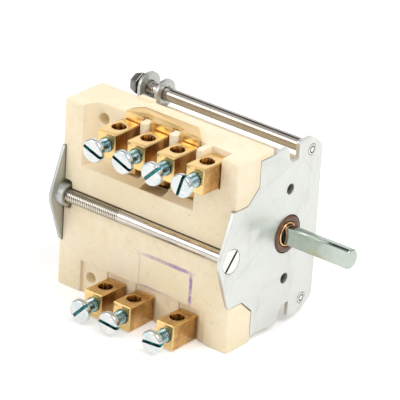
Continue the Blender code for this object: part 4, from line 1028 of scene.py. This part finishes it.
class SWITCH_OT_shaft(bpy.types.Operator):
    """Turn the shaft with its flat, the brass bush and the brown ring"""

    bl_idname = "switch.shaft"
    bl_label = "Shaft and bush"

    def execute(self, context):
        low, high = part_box("shaft")
        radius = (high.z - low.z) / 2
        edge = SHAFT_END_ROUNDING
        profile = [
            (SHAFT_JOINT_X, 0.0), (SHAFT_JOINT_X, radius),
            *arc(high.x - edge, radius - edge, edge, edge, 90, 4), (high.x, 0.0),
        ]
        past = radius * 3
        flat = block((FLAT_START, -past, -past), (high.x + past, -FLAT_OFFSET, past))
        bar = soften(subtract(lathe(profile, 64), [flat]), NICK, 40.0)
        rear = bmesh.new()
        rear.from_mesh(NODES["shaft"].data)
        bmesh.ops.remove_doubles(rear, verts=rear.verts, dist=CAD_MERGE)
        everything = rear.verts[:] + rear.edges[:] + rear.faces[:]
        bmesh.ops.bisect_plane(
            rear, geom=everything, plane_co=(SHAFT_JOINT_X, 0, 0), plane_no=AXIS_X,
            clear_outer=True,
        )
        bmesh.ops.holes_fill(rear, edges=[rim for rim in rear.edges if rim.is_boundary])
        steel = shaft_steel()
        show("shaft_bar", merge(bar, rear), steel, "shaft_assembly", "bright_steel", ["shaft"])
        dress_nodes(("shaft_clip", "rear_sleeve"), steel)
        dress_nodes(("detent_wheel",), dark_steel())
        self.bush(context)
        return {"FINISHED"}

    def bush(self, context):
        """The brass bearing with its thin proud rim, and the brown ring round it."""
        low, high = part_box("shaft_bush")
        flange = (high.z - low.z) / 2
        shelf = low.x + BUSH_FLANGE
        brass = lathe([
            (low.x, BUSH_BORE), (low.x, flange), (shelf, flange), (shelf, BUSH_RADIUS),
            (high.x - BUSH_RIM, BUSH_RADIUS), (high.x, BUSH_RADIUS - BUSH_RIM),
            (high.x, BUSH_BORE + BUSH_RIM), (high.x - BUSH_RIM, BUSH_BORE),
        ], 64)
        # The bore's faces take the dark material, painted as shade in the hollow.
        for face in brass.faces:
            face.material_index = int(max(map(reach_of, face.verts)) < BUSH_BORE + BUSH_RIM * 0.5)
        copper = drawn_metal("copper_brass", BUSH_COPPER, 0.16, 0.30, (1.0, 1.0, 1.0), 900.0, 0.2)
        show("bush_turned", brass, copper, "switch_body", "brass", ["shaft_bush"], dark_steel())
        low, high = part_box("bush_ring")
        outer = (high.z - low.z) / 2
        inner = BUSH_RADIUS + RING_CLEARANCE
        dome = arc(high.x - RING_DOME, (inner + outer) / 2, RING_DOME, (outer - inner) / 2, 180, 8)
        ring = lathe([(low.x, inner), (low.x, outer), *dome], 64)
        show("ring_turned", ring, brown_fibre(), "switch_body", "brown_fibre", ["bush_ring"])


class SWITCH_OT_mechanism(bpy.types.Operator):
    """Finish the cams, the pusher guide and the push pins inside the chamber"""

    bl_idname = "switch.mechanism"
    bl_label = "Cam mechanism"

    def execute(self, context):
        resin = matt_material("cam_resin", CAM_RESIN, 0.45, 300.0)
        steatite = matt_material("steatite", STEATITE, 0.45, 260.0)
        dress_nodes([f"cam_{number}" for number in range(1, 5)], resin)
        dress_nodes(("pusher_guide",), brown_fibre())
        dress_nodes([f"pusher_{number}" for number in range(1, 5)], steatite)
        return {"FINISHED"}


def dress_nodes(names, material):
    """Puts a material in a carried CAD node's slots."""
    for name in names:
        mesh = NODES[name].data
        mesh.materials.clear()
        mesh.materials.append(material)


class SWITCH_OT_stage(bpy.types.Operator):
    """Build the floor, the lamps, the room light and the camera"""

    bl_idname = "switch.stage"
    bl_label = "Studio"

    def execute(self, context):
        studio = context.scene.switch_studio
        self.floor(context, studio)
        self.lamps(context, studio)
        self.room(context, studio)
        self.camera(context)
        context.scene.view_settings.view_transform = "Standard"
        return {"FINISHED"}

    def floor(self, context, studio):
        """A wide pale floor that keeps the shadow and shows white elsewhere."""
        shape = bmesh.new()
        bmesh.ops.create_grid(shape, x_segments=1, y_segments=1, size=FLOOR_HALF_WIDTH)
        bmesh.ops.translate(shape, verts=shape.verts, vec=(0, 0, CAD_BOX[0][2] - FLOOR_GAP))
        mesh = bpy.data.meshes.new("floor")
        shape.to_mesh(mesh)
        shape.free()
        made, nodes, shader, _ = start_material("pale_floor")
        shader.inputs["Base Color"].default_value = (*studio.floor_colour, 1.0)
        shader.inputs["Roughness"].default_value = 0.9
        shader.inputs["Specular IOR Level"].default_value = 0.1
        shader.inputs["Emission Color"].default_value = (1.0, 1.0, 1.0, 1.0)
        path = nodes.add("ShaderNodeLightPath")
        seen = nodes.math("MAXIMUM", path.outputs["Is Camera Ray"], path.outputs["Is Glossy Ray"])
        seen = nodes.math("MAXIMUM", seen, path.outputs["Is Transmission Ray"])
        glow = nodes.math("MULTIPLY", seen, studio.floor_glow)
        nodes.feed(shader.inputs["Emission Strength"], glow)
        mesh.materials.append(made)
        floor = bpy.data.objects.new("floor", mesh)
        context.scene.collection.objects.link(floor)

    def lamps(self, context, studio):
        """A large key lamp over the shaft side and a soft one on the terminal side."""
        for name, power, (place, size) in (
            ("key", studio.key_power, KEY_LAMP), ("front", studio.fill_power, FRONT_LAMP),
        ):
            lamp = bpy.data.lights.new(name, "AREA")
            lamp.shape = "SQUARE"
            lamp.size = size
            lamp.energy = power
            holder = bpy.data.objects.new(name, lamp)
            holder.location = place
            holder.rotation_euler = (-Vector(place)).to_track_quat("-Z", "Y").to_euler()
            context.scene.collection.objects.link(holder)

    def room(self, context, studio):
        """Light from above, with a low dark band and two cards behind for the metal's streaks."""
        world = bpy.data.worlds.new("studio_room")
        world.use_nodes = True
        context.scene.world = world
        nodes = Nodes(world.node_tree)
        background = world.node_tree.nodes["Background"]
        direction = nodes.add("ShaderNodeTexCoord").outputs["Generated"]
        parts = nodes.add("ShaderNodeSeparateXYZ", {"Vector": direction})
        height = nodes.ramp(parts.outputs["Z"], 0.02, 0.26)
        room = nodes.mix(height, ROOM_LOW, ROOM_HIGH)
        climb = nodes.math("ARCTAN2", parts.outputs["Z"], parts.outputs["Y"])
        leftward = nodes.ramp(nodes.math("MULTIPLY", parts.outputs["X"], -1.0), 0.25, 0.40)
        for tone, rise, fall in (DARK_CARD, PALE_CARD):
            card = nodes.math("SUBTRACT", nodes.ramp(climb, *rise), nodes.ramp(climb, *fall))
            room = nodes.mix(nodes.math("MULTIPLY", card, leftward), room, tone)
        nodes.feed(background.inputs["Color"], room)
        background.inputs["Strength"].default_value = studio.sky_strength

    def camera(self, context):
        lens = bpy.data.cameras.new("photo_camera")
        lens.lens = CAMERA_LENS
        lens.sensor_width = CAMERA_SENSOR
        lens.sensor_fit = "HORIZONTAL"
        lens.clip_start = 0.01
        lens.clip_end = 20.0
        camera = bpy.data.objects.new("photo_camera", lens)
        turn = Matrix((CAMERA_RIGHT, -Vector(CAMERA_DOWN), -Vector(CAMERA_FORWARD))).transposed()
        camera.matrix_world = Matrix.Translation(CAMERA_PLACE) @ turn.to_4x4()
        context.scene.collection.objects.link(camera)
        context.scene.camera = camera


class SWITCH_PT_panel(bpy.types.Panel):
    """The sidebar panel that lists the switch's steps and values"""

    bl_idname = "SWITCH_PT_panel"
    bl_label = "Heat switch"
    bl_space_type = "VIEW_3D"
    bl_region_type = "UI"
    bl_category = "Heat switch"

    def draw(self, context):
        for operator in OPERATORS:
            self.layout.operator(operator.bl_idname)
        for group in (context.scene.switch_finishes, context.scene.switch_studio):
            for name in group.__annotations__:
                self.layout.prop(group, name)


OPERATORS = (
    SWITCH_OT_ceramic,
    SWITCH_OT_plates,
    SWITCH_OT_rods,
    SWITCH_OT_tie_bolt,
    SWITCH_OT_terminal_blocks,
    SWITCH_OT_terminal_screws,
    SWITCH_OT_contacts,
    SWITCH_OT_shaft,
    SWITCH_OT_mechanism,
    SWITCH_OT_stage,
)
CLASSES = (SwitchStudio, SwitchFinishes, *OPERATORS, SWITCH_PT_panel)


def register():
    for kind in CLASSES:
        bpy.utils.register_class(kind)
    bpy.types.Scene.switch_studio = PointerProperty(type=SwitchStudio)
    bpy.types.Scene.switch_finishes = PointerProperty(type=SwitchFinishes)


def unregister():
    del bpy.types.Scene.switch_finishes
    del bpy.types.Scene.switch_studio
    for kind in reversed(CLASSES):
        bpy.utils.unregister_class(kind)


def main():
    """Registers the add-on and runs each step."""
    register()
    for operator in OPERATORS:
        group, name = operator.bl_idname.split(".")
        if getattr(getattr(bpy.ops, group), name)() != {"FINISHED"}:
            raise RuntimeError(operator.bl_label + " didn't finish")


if __name__ == "__main__":
    main()
